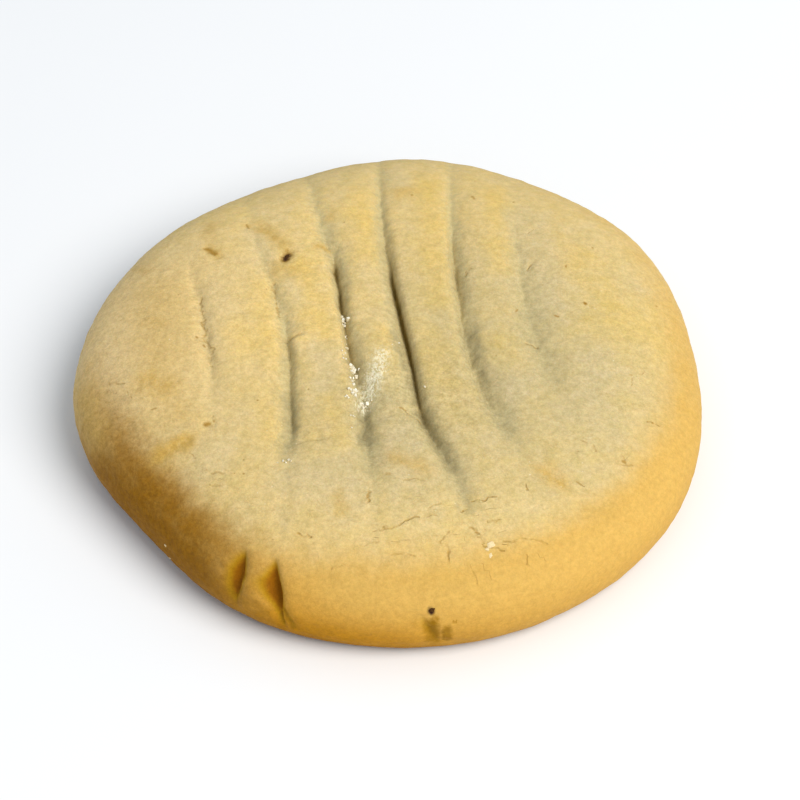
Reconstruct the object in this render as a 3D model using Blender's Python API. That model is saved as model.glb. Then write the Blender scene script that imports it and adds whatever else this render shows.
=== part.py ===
"""A fork-pressed butter cookie: one round of dough, flat underneath, with six furrows across its top."""

import bpy
import numpy as np

MM = 0.001

# Driving dimensions
DIAMETER = 70.0 * MM
THICKNESS = 14.2 * MM  # of the domed round, before the fork lowered its middle
FURROW_DEPTH = 2.1 * MM  # of the deepest furrow
FACE_COUNT = 9000

# Worked out from them
HALF_WIDTH = DIAMETER / 2
WIDEST_HEIGHT = 0.36 * THICKNESS  # the side stands out furthest here
FOOT_INSET = 0.25 * THICKNESS  # from the widest line in to the edge of the flat base
PRESSED_DEPTH = 0.25 * FURROW_DEPTH  # the fork lowered the whole middle by this

# The hand-shaped outline: its half width every 22.5 degrees, as a share of HALF_WIDTH
OUTLINE = (
    1.00, 1.02, 1.025, 1.025,  # from the right side to the back
    1.00, 0.96, 0.97, 0.985,  # from the back to the left side
    1.00, 0.965, 0.945, 0.98,  # from the left side to the front
    1.005, 1.025, 1.035, 1.03,  # and from the front to the right side again
)

# How square the section is: outwards and upwards over the top, and round the lower edge
TOP_SQUARENESS = (3.4, 2.3)
LOWER_SQUARENESS = 2.2

DOUGH_COLOUR = (0.66, 0.47, 0.20, 1.0)


# The fork's furrows, left to right, as points from the back to the front. A point is (across, along, depth,
# left bank, right bank): across is X and along is Y in mm, depth is a share of FURROW_DEPTH, and each bank
# is as wide as it says in mm
FURROWS = (
    (
        (-23.1, 14.2, 0, 0.9, 0.9), (-22.2, 11.2, 0.12, 0.7, 0.9), (-20.6, 3.9, 0.24, 0.6, 1.0),
        (-19.1, -4.6, 0.24, 0.8, 0.7), (-18.8, -7.6, 0.14, 0.9, 0.7), (-18.8, -11, 0, 0.9, 0.9),
    ),
    (
        (-16.9, 27, 0.08, 1.6, 1.6), (-14.9, 16.3, 0.14, 1.3, 1.3), (-12.3, 6.5, 0.30, 0.8, 1.2),
        (-10.7, -1.7, 0.52, 0.9, 0.7), (-10.5, -8, 0.52, 1.1, 0.8), (-10.3, -13.5, 0.54, 1.1, 0.9),
        (-10.9, -17.5, 0.24, 1.6, 1.4), (-10.6, -22, 0.07, 1.6, 1.6), (-10.2, -27, 0, 1.6, 1.6),
    ),
    (
        (-9.4, 28.5, 0.16, 1, 1.4), (-8, 20.7, 0.28, 0.9, 1.6), (-5.8, 11.7, 0.52, 0.8, 1.1),
        (-4.9, 4.7, 0.78, 0.5, 0.6), (-4.2, 0, 0.70, 0.5, 0.9), (-3.5, -4.1, 0.78, 0.6, 1.4),
        (-2.7, -8, 0.74, 0.8, 1.9), (-2.8, -11.5, 0.70, 0.9, 1.4), (-2.7, -14.8, 0.52, 1, 1.4),
        (-1.9, -18.5, 0.26, 1.3, 1.6), (-1.3, -22, 0.09, 1.6, 1.6), (-0.8, -27, 0, 1.6, 1.6),
    ),
    (
        (-1, 31, 0.18, 0.9, 1), (-0.7, 23, 0.33, 0.9, 0.8), (-0.1, 15, 0.54, 1, 0.6),
        (1.1, 6.2, 0.88, 1, 0.45), (2.9, -4.2, 0.90, 1.2, 0.45), (3.6, -9, 0.82, 1.5, 0.55),
        (4.6, -13.2, 0.74, 1.4, 0.8), (6.5, -17.8, 0.50, 1.2, 1.1), (8, -22, 0.26, 1.3, 1.3),
        (8.7, -25.5, 0.08, 1.6, 1.6), (9.8, -29, 0, 1.6, 1.6),
    ),
    (
        (7.6, 31, 0.16, 1, 1.3), (7.5, 20, 0.32, 0.8, 1.2), (7.9, 10.2, 0.66, 0.7, 0.9),
        (8.6, 2, 0.60, 0.7, 1.1), (9.9, -5.8, 0.56, 0.7, 1.1), (11, -9, 0.50, 0.7, 1.5),
        (12.5, -12.7, 0.38, 0.9, 1.8), (13.8, -16.3, 0.12, 1.4, 1.8), (16.2, -20.5, 0, 1.6, 1.6),
    ),
    (
        (14.6, 24.5, 0.06, 1.6, 1.8), (15, 14, 0.20, 1.6, 1.9), (15.9, 3.5, 0.33, 1.6, 2.2),
        (17.4, -3.6, 0.28, 1.8, 2.2), (18.3, -8, 0.14, 2, 2), (19.4, -12.5, 0, 2, 2),
    ),
)

# Towards the rim a furrow loses depth: the heights where that starts and ends, and the share that is left
RIM_HEIGHTS = (0.86 * THICKNESS, 0.61 * THICKNESS)
RIM_SHARE = 0.18

# Folds where the edge was pinched, as points of the same kind: across is the way round the side from the
# front, and along is the height
PINCHES = (
    (
        (-16.5, 10.1, 0, 0.8, 0.4), (-16.5, 9.2, 0.55, 1.2, 0.5), (-16.7, 6.8, 0.70, 1.3, 0.5),
        (-16.9, 4.2, 0.50, 1, 0.5), (-17.1, 2, 0, 0.8, 0.4),
    ),
    (
        (-12.9, 10.3, 0, 0.5, 0.4), (-12.4, 9.3, 0.55, 1, 0.4), (-12, 7.8, 0.90, 2.3, 0.4),
        (-11.8, 6.2, 0.90, 1.7, 0.4), (-11.6, 4.6, 0.60, 0.8, 0.4), (-11.1, 2.2, 0, 0.5, 0.4),
    ),
    (
        (-10.8, 6.9, 0, 0.5, 0.4), (-10.4, 5.6, 0.45, 0.8, 0.4), (-9.7, 3.6, 0.40, 0.6, 0.4),
        (-9.2, 2, 0, 0.4, 0.4),
    ),
    (
        (3.6, 8, 0, 0.9, 0.6), (4.2, 6.2, 0.20, 0.9, 0.6), (5, 4.2, 0.20, 0.9, 0.6),
        (5.4, 2.2, 0, 0.9, 0.6),
    ),
)
CREASE_SHARPNESS = 1.4  # under 2 the bed of a crease is a line, at 2 it is round

# Points of the mesh are drawn in towards the creases, where the form turns most sharply
GATHER = 0.65  # how much closer together they are in the bed
GATHER_REACH = 1.3 * MM
GATHER_FROM = 0.15 * FURROW_DEPTH  # a crease shallower than this gathers less


def outline_radius(angle):
    """The half width in a direction: a smooth closed curve through the points of OUTLINE."""
    waves = np.fft.rfft(OUTLINE) * HALF_WIDTH / len(OUTLINE)
    radius = np.full_like(angle, waves[0].real)
    for turns in range(1, len(waves)):
        share = 1 if 2 * turns == len(OUTLINE) else 2
        radius += share * (waves[turns] * np.exp(1j * turns * angle)).real
    return radius


def section(steps=400):
    """Half of the section, from the top's middle to the base's: share of the half width, inset and height."""
    turn = np.linspace(0, np.pi / 2, steps)
    out, up = TOP_SQUARENESS
    top_share = np.sin(turn) ** (2 / out)
    top_height = WIDEST_HEIGHT + (THICKNESS - WIDEST_HEIGHT) * np.cos(turn) ** (2 / up)
    side_inset = FOOT_INSET * (1 - np.cos(turn) ** (2 / LOWER_SQUARENESS))
    side_height = WIDEST_HEIGHT * (1 - np.sin(turn) ** (2 / LOWER_SQUARENESS))
    base_share = np.linspace(1, 0, steps)
    none = np.zeros(steps)
    share = np.concatenate([top_share, none + 1, base_share])
    inset = np.concatenate([none, side_inset, FOOT_INSET * base_share])
    height = np.concatenate([top_height, side_height, none])
    return share, inset, height


def smooth_body(directions):
    """Spreads the points of a unit ball evenly over the surface of the plain domed round."""
    share, inset, height = section()
    reach = share * HALF_WIDTH - inset
    step = np.hypot(np.diff(reach), np.diff(height))
    area = np.concatenate([[0], np.cumsum(step * (reach[1:] + reach[:-1]))])
    wanted = (1 - directions[:, 2]) / 2 * area[-1]
    angle = np.arctan2(directions[:, 1], directions[:, 0])
    radius = np.interp(wanted, area, share) * outline_radius(angle) - np.interp(wanted, area, inset)
    return np.stack([radius * np.cos(angle), radius * np.sin(angle), np.interp(wanted, area, height)], axis=1)


def read_along(along, crease):
    """Reads where a crease lies, its depth, its banks and its lean, on a smooth curve through its points."""
    knots = np.array(crease[::-1], float) * (MM, MM, FURROW_DEPTH, MM, MM)
    places = knots[:, 1]
    slopes = np.gradient(knots, places, axis=0)
    at = np.clip(along, places[0], places[-1])
    first = np.clip(np.searchsorted(places, at) - 1, 0, len(places) - 2)
    span = (places[first + 1] - places[first])[:, None]
    t = (at - places[first])[:, None] / span
    curve = (
        (2 * t**3 - 3 * t**2 + 1) * knots[first]
        + (t**3 - 2 * t**2 + t) * span * slopes[first]
        + (3 * t**2 - 2 * t**3) * knots[first + 1]
        + (t**3 - t**2) * span * slopes[first + 1]
    )
    lean = np.interp(at, places, slopes[:, 0])
    banks = np.maximum(curve[:, 3:], 0.2 * MM)
    return curve[:, 0], np.maximum(curve[:, 2], 0), banks[:, 0], banks[:, 1], lean


def creased(across, along, creases):
    """How far the creases lie below the smooth surface, at places given across and along them."""
    sunk = np.zeros_like(across)
    for crease in creases:
        bed, depth, left_bank, right_bank, lean = read_along(along, crease)
        away = (across - bed) / np.hypot(1, lean)
        bank = np.where(away < 0, left_bank, right_bank)
        sunk += depth * np.exp(-np.abs(away / bank) ** CREASE_SHARPNESS)
    return sunk


def gathered(across, along, creases):
    """How far to draw the points of the mesh across, towards the beds of the creases."""
    shift = np.zeros_like(across)
    for crease in creases:
        bed, depth, *_ = read_along(along, crease)
        away = across - bed
        pull = GATHER * np.clip(depth / GATHER_FROM, 0, 1)
        shift -= pull * away * np.exp(-((away / GATHER_REACH) ** 2))
    return shift


def pressed_middle(x, y):
    """The shallow tray that the back of the fork left between the first furrow and the last."""
    half_length, half_width, centre_x, centre_y = 24 * MM, 21 * MM, -2 * MM, 8 * MM
    away = np.abs((x - centre_x) / half_width) ** 4 + np.abs((y - centre_y) / half_length) ** 4
    return PRESSED_DEPTH * np.exp(-away)


def unevenness(points):
    """The gentle swells of hand-rolled dough, up to a fifth of a millimetre."""
    x, y, z = (points / (7 * MM)).T
    return 0.1 * MM * (np.sin(x + 1.7 * np.sin(0.8 * y)) + np.sin(1.3 * y - 0.6 * x + 1.1 * z + 2))


def way_round(x, y):
    """How far round the side a place is from the front, towards +X."""
    return HALF_WIDTH * np.arctan2(x, -y)


def gather_points(body, normals):
    """Slides the points over the smooth surface, so that more of them lie along the creases."""
    x, y, z = body.T
    zero = np.zeros_like(x)
    sideways = np.stack([zero + 1, zero, zero], axis=1)
    around = np.stack([-y, x, zero], axis=1) / (np.hypot(x, y) + MM)[:, None]
    on_top = np.clip((z - WIDEST_HEIGHT) / (0.25 * THICKNESS), 0, 1)
    shift = (on_top * gathered(x, y, FURROWS))[:, None] * sideways
    shift += gathered(way_round(x, y), z, PINCHES)[:, None] * around
    outward = np.sum(shift * normals, axis=1)
    return body + shift - outward[:, None] * normals


def left_at_rim(height):
    """The share of its depth that a furrow has at a height."""
    high, low = RIM_HEIGHTS
    t = np.clip((height - low) / (high - low), 0, 1)
    return RIM_SHARE + (1 - RIM_SHARE) * t * t * (3 - 2 * t)


def relief(body):
    """How far the finished surface lies below the smooth one."""
    x, y, z = body.T
    above_base = np.clip(z / (0.15 * THICKNESS), 0, 1)
    on_top = np.clip((z - WIDEST_HEIGHT) / (0.25 * THICKNESS), 0, 1)
    sunk = on_top * (left_at_rim(z) * creased(x, y, FURROWS) + pressed_middle(x, y))
    return sunk + above_base * (creased(way_round(x, y), z, PINCHES) + unevenness(body))


def read_vectors(items, name):
    values = np.empty(len(items) * 3, np.float32)
    items.foreach_get(name, values)
    return values.reshape(-1, 3).astype(float)


def place_points(mesh, points):
    mesh.vertices.foreach_set("co", points.ravel())
    mesh.update()


def shape_dough(mesh):
    """Gives a ball the cookie's form: the smooth round, then its relief, pressed in along the normals."""
    ball = read_vectors(mesh.vertices, "co")
    body = smooth_body(ball / np.linalg.norm(ball, axis=1)[:, None])
    place_points(mesh, body)
    normals = read_vectors(mesh.vertex_normals, "vector")
    body = gather_points(body, normals)
    shaped = body - normals * relief(body)[:, None]
    shaped[:, 2] = np.maximum(shaped[:, 2], 0)
    place_points(mesh, shaped)


def settle(mesh):
    """Stands the cookie on its flat base, with the middle of its outline over the origin."""
    points = read_vectors(mesh.vertices, "co")
    middle = (points.min(axis=0) + points.max(axis=0)) / 2
    points[:, :2] -= middle[:2]
    base_band = 0.05 * MM
    points[points[:, 2] < base_band, 2] = 0
    place_points(mesh, points)


def dough_material():
    material = bpy.data.materials.new("baked_dough")
    material.use_nodes = True
    material.diffuse_color = DOUGH_COLOUR
    finish = material.node_tree.nodes["Principled BSDF"]
    finish.inputs["Base Color"].default_value = DOUGH_COLOUR
    finish.inputs["Roughness"].default_value = 0.72
    finish.inputs["Metallic"].default_value = 0.0
    return material


def make_cookie(collection):
    """The one piece of baked dough, with its faces thinned where the surface is plain."""
    bpy.ops.mesh.primitive_ico_sphere_add(subdivisions=7, radius=1)
    fine = bpy.context.object
    shape_dough(fine.data)
    thin = fine.modifiers.new("thin", "DECIMATE")
    thin.ratio = FACE_COUNT / len(fine.data.polygons)
    graph = bpy.context.evaluated_depsgraph_get()
    mesh = bpy.data.meshes.new_from_object(fine.evaluated_get(graph))
    bpy.data.objects.remove(fine)
    settle(mesh)
    mesh.shade_smooth()
    mesh.materials.append(dough_material())
    cookie = bpy.data.objects.new("cookie", mesh)
    collection.objects.link(cookie)
    return cookie


def main():
    for obj in list(bpy.data.objects):
        bpy.data.objects.remove(obj)
    collection = bpy.data.collections.new("fork_pressed_cookie")
    bpy.context.scene.collection.children.link(collection)
    make_cookie(collection)


main()
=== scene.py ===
"""A fork-pressed butter cookie, with its relief, baked colours, sugar and specks, in a plain studio."""

import math
import random
from typing import NamedTuple

import bmesh
import bpy
import numpy as np
from bpy.props import FloatProperty, FloatVectorProperty, IntProperty, PointerProperty
from mathutils import Euler, Matrix, Vector, noise


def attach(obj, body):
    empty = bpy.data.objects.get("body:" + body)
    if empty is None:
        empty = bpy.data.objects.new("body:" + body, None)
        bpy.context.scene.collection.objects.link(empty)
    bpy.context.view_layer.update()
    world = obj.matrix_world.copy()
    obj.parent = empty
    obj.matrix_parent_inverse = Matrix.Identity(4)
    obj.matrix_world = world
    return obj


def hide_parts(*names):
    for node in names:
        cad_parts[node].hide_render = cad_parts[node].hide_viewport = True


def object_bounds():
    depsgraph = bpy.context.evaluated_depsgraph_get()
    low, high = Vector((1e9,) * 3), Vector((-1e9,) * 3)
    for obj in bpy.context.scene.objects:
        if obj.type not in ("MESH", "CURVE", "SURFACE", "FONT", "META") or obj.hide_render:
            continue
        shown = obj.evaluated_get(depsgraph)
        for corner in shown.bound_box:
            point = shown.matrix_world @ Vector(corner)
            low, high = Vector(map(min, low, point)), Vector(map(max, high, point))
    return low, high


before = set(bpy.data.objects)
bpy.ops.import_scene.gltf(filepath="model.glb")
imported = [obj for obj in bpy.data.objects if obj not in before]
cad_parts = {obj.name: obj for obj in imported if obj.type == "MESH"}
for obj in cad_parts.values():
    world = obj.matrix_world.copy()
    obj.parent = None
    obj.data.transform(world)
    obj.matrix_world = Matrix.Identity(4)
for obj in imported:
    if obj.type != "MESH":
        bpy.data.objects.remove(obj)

bl_info = {
    "name": "Fork-pressed cookie",
    "version": (1, 0, 0),
    "blender": (4, 5, 0),
    "location": "3D View > Sidebar > Cookie",
    "description": "Makes a fork-pressed butter cookie, its sugar and specks, and a small studio for it",
    "category": "Add Mesh",
}

CAD_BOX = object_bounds()
MM = 0.001

# ---- The cookie's form and its marks, in millimetres ----

# The plain domed round, as the solid has it
HALF_WIDTH = 35.0
THICKNESS = 14.2  # of the domed round, before the fork lowered its middle
WIDEST_HEIGHT = 0.36 * THICKNESS
FOOT_INSET = 0.25 * THICKNESS

# The hand-shaped outline: its half width every 22.5 degrees, as a share of HALF_WIDTH
OUTLINE = (
    1.00, 1.02, 1.025, 1.025,  # from the right side to the back
    1.00, 0.96, 0.97, 0.985,  # from the back to the left side
    1.00, 0.965, 0.945, 0.98,  # from the left side to the front
    1.005, 1.025, 1.035, 1.03,  # and from the front to the right side again
)
TOP_SQUARENESS = (3.4, 2.3)
LOWER_SQUARENESS = 2.2

BASE_MARGIN = 0.15 * THICKNESS  # from the base up to this height the marks come in
TOP_MARGIN = 0.25 * THICKNESS  # and over this much above the widest height, those of the top

# How closely the points of the mesh lie: on the top, round the side and under the base
CLOSENESS = (1.0, 0.6, 0.1)


class Crease(NamedTuple):
    """A mark pressed into the dough: a furrow, the cleft in its bed, or a fold."""

    ragged: float  # how far its line strays
    # of (across, along, depth as a share of the deepest furrow's, width of the left bank, of the right bank)
    points: tuple


# The fork's furrows, left to right: across is X, and along is Y, from the back to the front
FURROWS = (
    Crease(0.22, (
        (-23.1, 14.2, 0, 0.9, 0.9), (-22.2, 11.2, 0.1, 0.7, 0.9), (-20.6, 3.9, 0.21, 0.6, 1),
        (-19.1, -4.6, 0.22, 0.8, 0.7), (-18.8, -7.6, 0.14, 0.9, 0.7), (-18.8, -11, 0, 0.9, 0.9),
    )),
    Crease(0.18, (
        (-16.9, 27, 0.08, 1.6, 1.6), (-14.9, 16.3, 0.14, 1.3, 1.3), (-12.3, 6.5, 0.25, 0.8, 1.3),
        (-10.7, -1.7, 0.42, 0.9, 0.8), (-10.5, -8, 0.44, 1.1, 0.9), (-10.2, -13.5, 0.4, 1.1, 0.9),
        (-10.6, -17.5, 0.15, 1.6, 1.5), (-10.5, -22, 0.07, 1.6, 1.6), (-10.2, -27, 0, 1.6, 1.6),
    )),
    Crease(0.28, (
        (-9.4, 28.5, 0.16, 1, 1.4), (-8, 20.7, 0.28, 0.9, 1.6), (-5.8, 11.7, 0.48, 0.8, 1.2),
        (-4.9, 4.7, 0.6, 0.5, 0.7), (-4.2, 0, 0.58, 0.45, 1), (-3.5, -4.1, 0.64, 0.5, 1.5),
        (-2.6, -8, 0.66, 0.7, 1.9), (-2.4, -11.5, 0.64, 0.9, 1.4), (-2.2, -14.8, 0.5, 1, 1.4),
        (-1.6, -18.5, 0.26, 1.3, 1.6), (-1.2, -22, 0.09, 1.6, 1.6), (-0.8, -27, 0, 1.6, 1.6),
    )),
    Crease(0.16, (
        (-1, 31, 0.18, 0.9, 1), (-0.7, 23, 0.33, 0.9, 0.8), (-0.1, 15, 0.48, 1.1, 0.7),
        (1.1, 6.2, 0.58, 1.1, 0.5), (2.9, -4.2, 0.6, 1.5, 0.5), (3.6, -9, 0.6, 1.8, 0.6),
        (4.6, -13.2, 0.62, 1.4, 0.9), (6.5, -17.8, 0.46, 1.2, 1.1), (8, -22, 0.24, 1.3, 1.3),
        (8.7, -25.5, 0.08, 1.6, 1.6), (9.8, -29, 0, 1.6, 1.6),
    )),
    Crease(0.2, (
        (7.6, 31, 0.16, 1, 1.3), (7.5, 20, 0.31, 0.8, 1.3), (7.9, 10.2, 0.54, 0.7, 1.1),
        (8.6, 2, 0.57, 0.7, 1.1), (9.9, -5.8, 0.53, 0.7, 1.1), (11, -9, 0.48, 0.7, 1.5),
        (12.5, -12.7, 0.36, 0.9, 1.8), (13.8, -16.3, 0.12, 1.4, 1.8), (16.2, -20.5, 0, 1.6, 1.6),
    )),
    Crease(0.35, (
        (14.6, 24.5, 0.06, 1.6, 1.8), (15, 14, 0.2, 1.6, 1.9), (15.9, 3.5, 0.31, 1.6, 2.2),
        (17.4, -3.6, 0.26, 1.8, 2.2), (18.3, -8, 0.14, 2, 2), (19.4, -12.5, 0, 2, 2),
    )),
)

# The narrow clefts in the beds of the furrows
CLEFTS = (
    Crease(0.1, (
        (-12.7, 9, 0, 0.3, 0.3), (-12.5, 7.6, 0.12, 0.3, 0.3), (-12.2, 6, 0.06, 0.3, 0.3),
        (-11.7, 4, 0, 0.3, 0.3),
    )),
    Crease(0.1, (
        (-11.2, 0.7, 0, 0.4, 0.3), (-10.8, -0.8, 0.13, 0.4, 0.3), (-10.4, -4.5, 0.14, 0.35, 0.3),
        (-10.3, -9, 0.14, 0.3, 0.3), (-10, -13.4, 0.14, 0.3, 0.3), (-9.9, -16, 0, 0.4, 0.4),
    )),
    Crease(0.16, (
        (-6, 13.8, 0, 0.3, 0.3), (-5.75, 11.6, 0.3, 0.35, 0.4), (-5.4, 8.9, 0.26, 0.3, 0.35),
        (-5.1, 6.2, 0.31, 0.3, 0.3), (-4.8, 4, 0.24, 0.3, 0.3), (-4.3, 1, 0.2, 0.25, 0.3),
        (-3.9, -2.2, 0.24, 0.3, 0.3), (-3.4, -4.7, 0.18, 0.3, 0.35), (-3.1, -9, 0, 0.3, 0.3),
    )),
    Crease(0.05, (
        (-0.3, 19.5, 0, 0.4, 0.4), (0, 15, 0.11, 0.4, 0.35), (0.5, 12, 0.22, 0.35, 0.26),
        (0.8, 9.3, 0.34, 0.4, 0.24), (1.3, 6.2, 0.39, 0.38, 0.24), (1.9, 2.6, 0.39, 0.38, 0.22),
        (2.5, -0.9, 0.4, 0.34, 0.22), (3.1, -4.7, 0.34, 0.28, 0.22), (3.6, -8.5, 0.3, 0.26, 0.24),
        (4.2, -11.6, 0.2, 0.4, 0.3), (5.1, -14.2, 0.14, 0.5, 0.4), (6.2, -17.2, 0, 0.5, 0.4),
    )),
    Crease(0.08, (
        (7, 18.1, 0, 0.3, 0.3), (7.5, 14.9, 0.1, 0.3, 0.3), (7.7, 12.2, 0.14, 0.3, 0.35),
        (8, 9.1, 0.18, 0.32, 0.4), (8.3, 6.1, 0.11, 0.3, 0.35), (8.5, 3, 0, 0.3, 0.3),
    )),
)

# Folds where the edge was pinched: across is the way round the side from the front, and along is the height
PINCHES = (
    Crease(0.1, (
        (-16.8, 10.2, 0, 0.9, 0.4), (-16.7, 9.1, 0.42, 1.2, 0.5), (-16.7, 7.4, 0.6, 1.3, 0.55),
        (-16.9, 5.2, 0.45, 1, 0.45), (-17.1, 3.4, 0, 0.8, 0.3),
    )),
    Crease(0.08, (
        (-13, 10.4, 0, 0.5, 0.4), (-12.6, 9.3, 0.5, 0.9, 0.45), (-11.95, 8.1, 0.74, 1.75, 0.45),
        (-11.6, 7, 0.7, 1.6, 0.4), (-11.45, 6, 0.52, 0.8, 0.35), (-11.3, 5, 0.38, 0.4, 0.3),
        (-11.1, 3.5, 0.26, 0.4, 0.3), (-11, 2.6, 0, 0.4, 0.3),
    )),
    Crease(0.08, (
        (-11.1, 6.8, 0, 0.4, 0.5), (-10.8, 5.9, 0.15, 0.4, 0.5), (-10.3, 4.9, 0.18, 0.5, 0.5),
        (-9.95, 4, 0.15, 0.5, 0.5), (-9.7, 3, 0, 0.4, 0.4),
    )),
    Crease(0.1, (
        (3.6, 8, 0, 0.9, 0.6), (4.2, 6.2, 0.2, 0.9, 0.6), (5, 4.2, 0.2, 0.9, 0.6),
        (5.4, 2.2, 0, 0.9, 0.6),
    )),
)

CREASE_SHARPNESS = 1.4  # under 2 the bed of a crease is a line, at 2 it is round
RIM_HEIGHTS = (8.6, 12.2)  # down the rim, between these heights, a furrow loses depth
RIM_SHARE = 0.18  # the share of its depth that is left
MIDDLE_SHARE = 0.25  # how far the middle is pressed down, as a share of the deepest furrow
TORN_HEIGHT = 0.12  # how far the torn lips in the furrows stand out

# Wide patches of the top: their middle, half width and half length
LOWERED_PATCH = ((-2, 8), 21, 24)
# Painted shade: over this patch the top is darkened and cooled, standing in for less light reaching it
PAINTED_SHADE_PATCH = ((11, -7), 20, 19)
# Painted light: over this patch on the left the top is lightened, standing in for more light reaching it
PAINTED_LIGHT_PATCH = ((-20, 9), 20, 15)

# Points of the mesh are drawn in towards the creases, where the form turns most sharply
GATHER = 0.6  # how much closer together they are in the bed
GATHER_REACH = 1.3
GATHER_FROM = 0.3  # a crease shallower than this gathers less


class Stroke(NamedTuple):
    """One mark on the dough, between two places: (X, Y) on the top, or (way round, height) on the side."""

    start: np.ndarray
    end: np.ndarray
    width: float  # from its middle to its edge
    strength: float  # how strongly it shows, or a dent's depth, below 0 where it stands proud
    on_side: bool


def strokes(*rows, on_side=False):
    """Strokes from rows of six numbers: the start's two, the end's two, the width and the strength."""
    ends = [np.array(row[:4], float).reshape(2, 2) for row in rows]
    return tuple(Stroke(*pair, *row[4:], on_side) for pair, row in zip(ends, rows))


# Soft hollows in the furrows, greyed partly as duller dough and partly as painted shade
HOLLOWS = strokes(
    (-20.9, 8, -19.5, -3, 0.8, 0.4), (-10.6, -9, -10.1, -13.6, 1.15, 0.62),
    (-10.2, -13.6, -10.6, -16.8, 1.3, 0.5), (-10.5, -17.5, -10.6, -27, 0.8, 0.22),
    (-3.6, -4, -2.6, -8.5, 0.9, 0.7), (-2.4, -9.4, -2.1, -15.4, 0.95, 0.95),
    (-2, -15, -1.3, -19.6, 1.3, 0.45), (-1.2, -20.5, -0.6, -31, 0.8, 0.2),
    (1, 0.4, 2.3, -4.4, 0.8, 0.6), (2.6, -5.2, 3.4, -9.4, 0.7, 0.6),
    (3.8, -11, 5.5, -15.2, 0.9, 0.8), (5.6, -15.4, 7.2, -19.3, 0.95, 0.8),
    (7.3, -19.3, 8.6, -24.4, 1.3, 0.45), (7.2, 20, 8.4, 4, 0.7, 0.15),
    (9.2, 1, 11, -6.8, 1.25, 0.65), (11, -8.6, 13.2, -13.8, 1.7, 0.5),
    (15.2, 14, 15.8, 5, 1.2, 0.3), (15.9, 3.5, 18.6, -6.2, 1.8, 0.42),
)

HOLLOW_DEPTH = 0.20

# Small hollows and scores in the top, with their depths
DENTS = strokes(
    # scores across the front ends of the ridges
    (-9.9, -16.1, -7.2, -15.2, 0.4, 0.1), (-7.2, -15.2, -4.2, -15.1, 0.4, 0.07),
    (-2, -12.6, 0.6, -12, 0.35, 0.08), (0.6, -12, 3.6, -10.8, 0.4, 0.13),
    (5.4, -10.5, 9.3, -9.4, 0.45, 0.06),
    # a torn lip beside the second furrow
    (-11.2, -0.5, -9.3, 0.2, 0.26, 0.26), (-10, -0.9, -9.2, -0.5, 0.45, -0.16),
    (-9.9, -0.9, -9.8, -2.6, 0.4, -0.14),
    # wrinkles beside the last two furrows
    (16.3, 16.9, 16.8, 17.8, 0.3, 0.12), (16.5, 11.8, 16, 10.6, 0.3, 0.12),
    (8.8, 9.6, 9.5, 10.8, 0.25, 0.12), (15.4, -0.8, 16.8, -1.3, 0.28, 0.14),
    # a fold that runs into the fourth furrow
    (1, -10.7, 2.6, -11.4, 0.35, 0.12), (2.6, -11.4, 3.9, -12.3, 0.3, 0.16),
    # hollows under the browned spots
    (-11.5, 12.5, -11.1, 13.3, 0.7, 0.3), (-15.9, 19, -14.3, 18.4, 0.5, 0.1),
    (-14.3, 18.4, -12.4, 15.6, 0.6, 0.14), (-20.4, 15, -19.2, 13.3, 0.5, 0.18),
    (-19.3, -12.8, -18.7, -12.4, 0.55, 0.18), (-24, -16, -21.2, -14.2, 0.55, 0.16),
    (18, -19.8, 19.2, -20.8, 0.9, 0.12),
    # where a chip came off at the front
    (10.9, -28.8, 11, -29.8, 0.45, 0.14),
)

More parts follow.
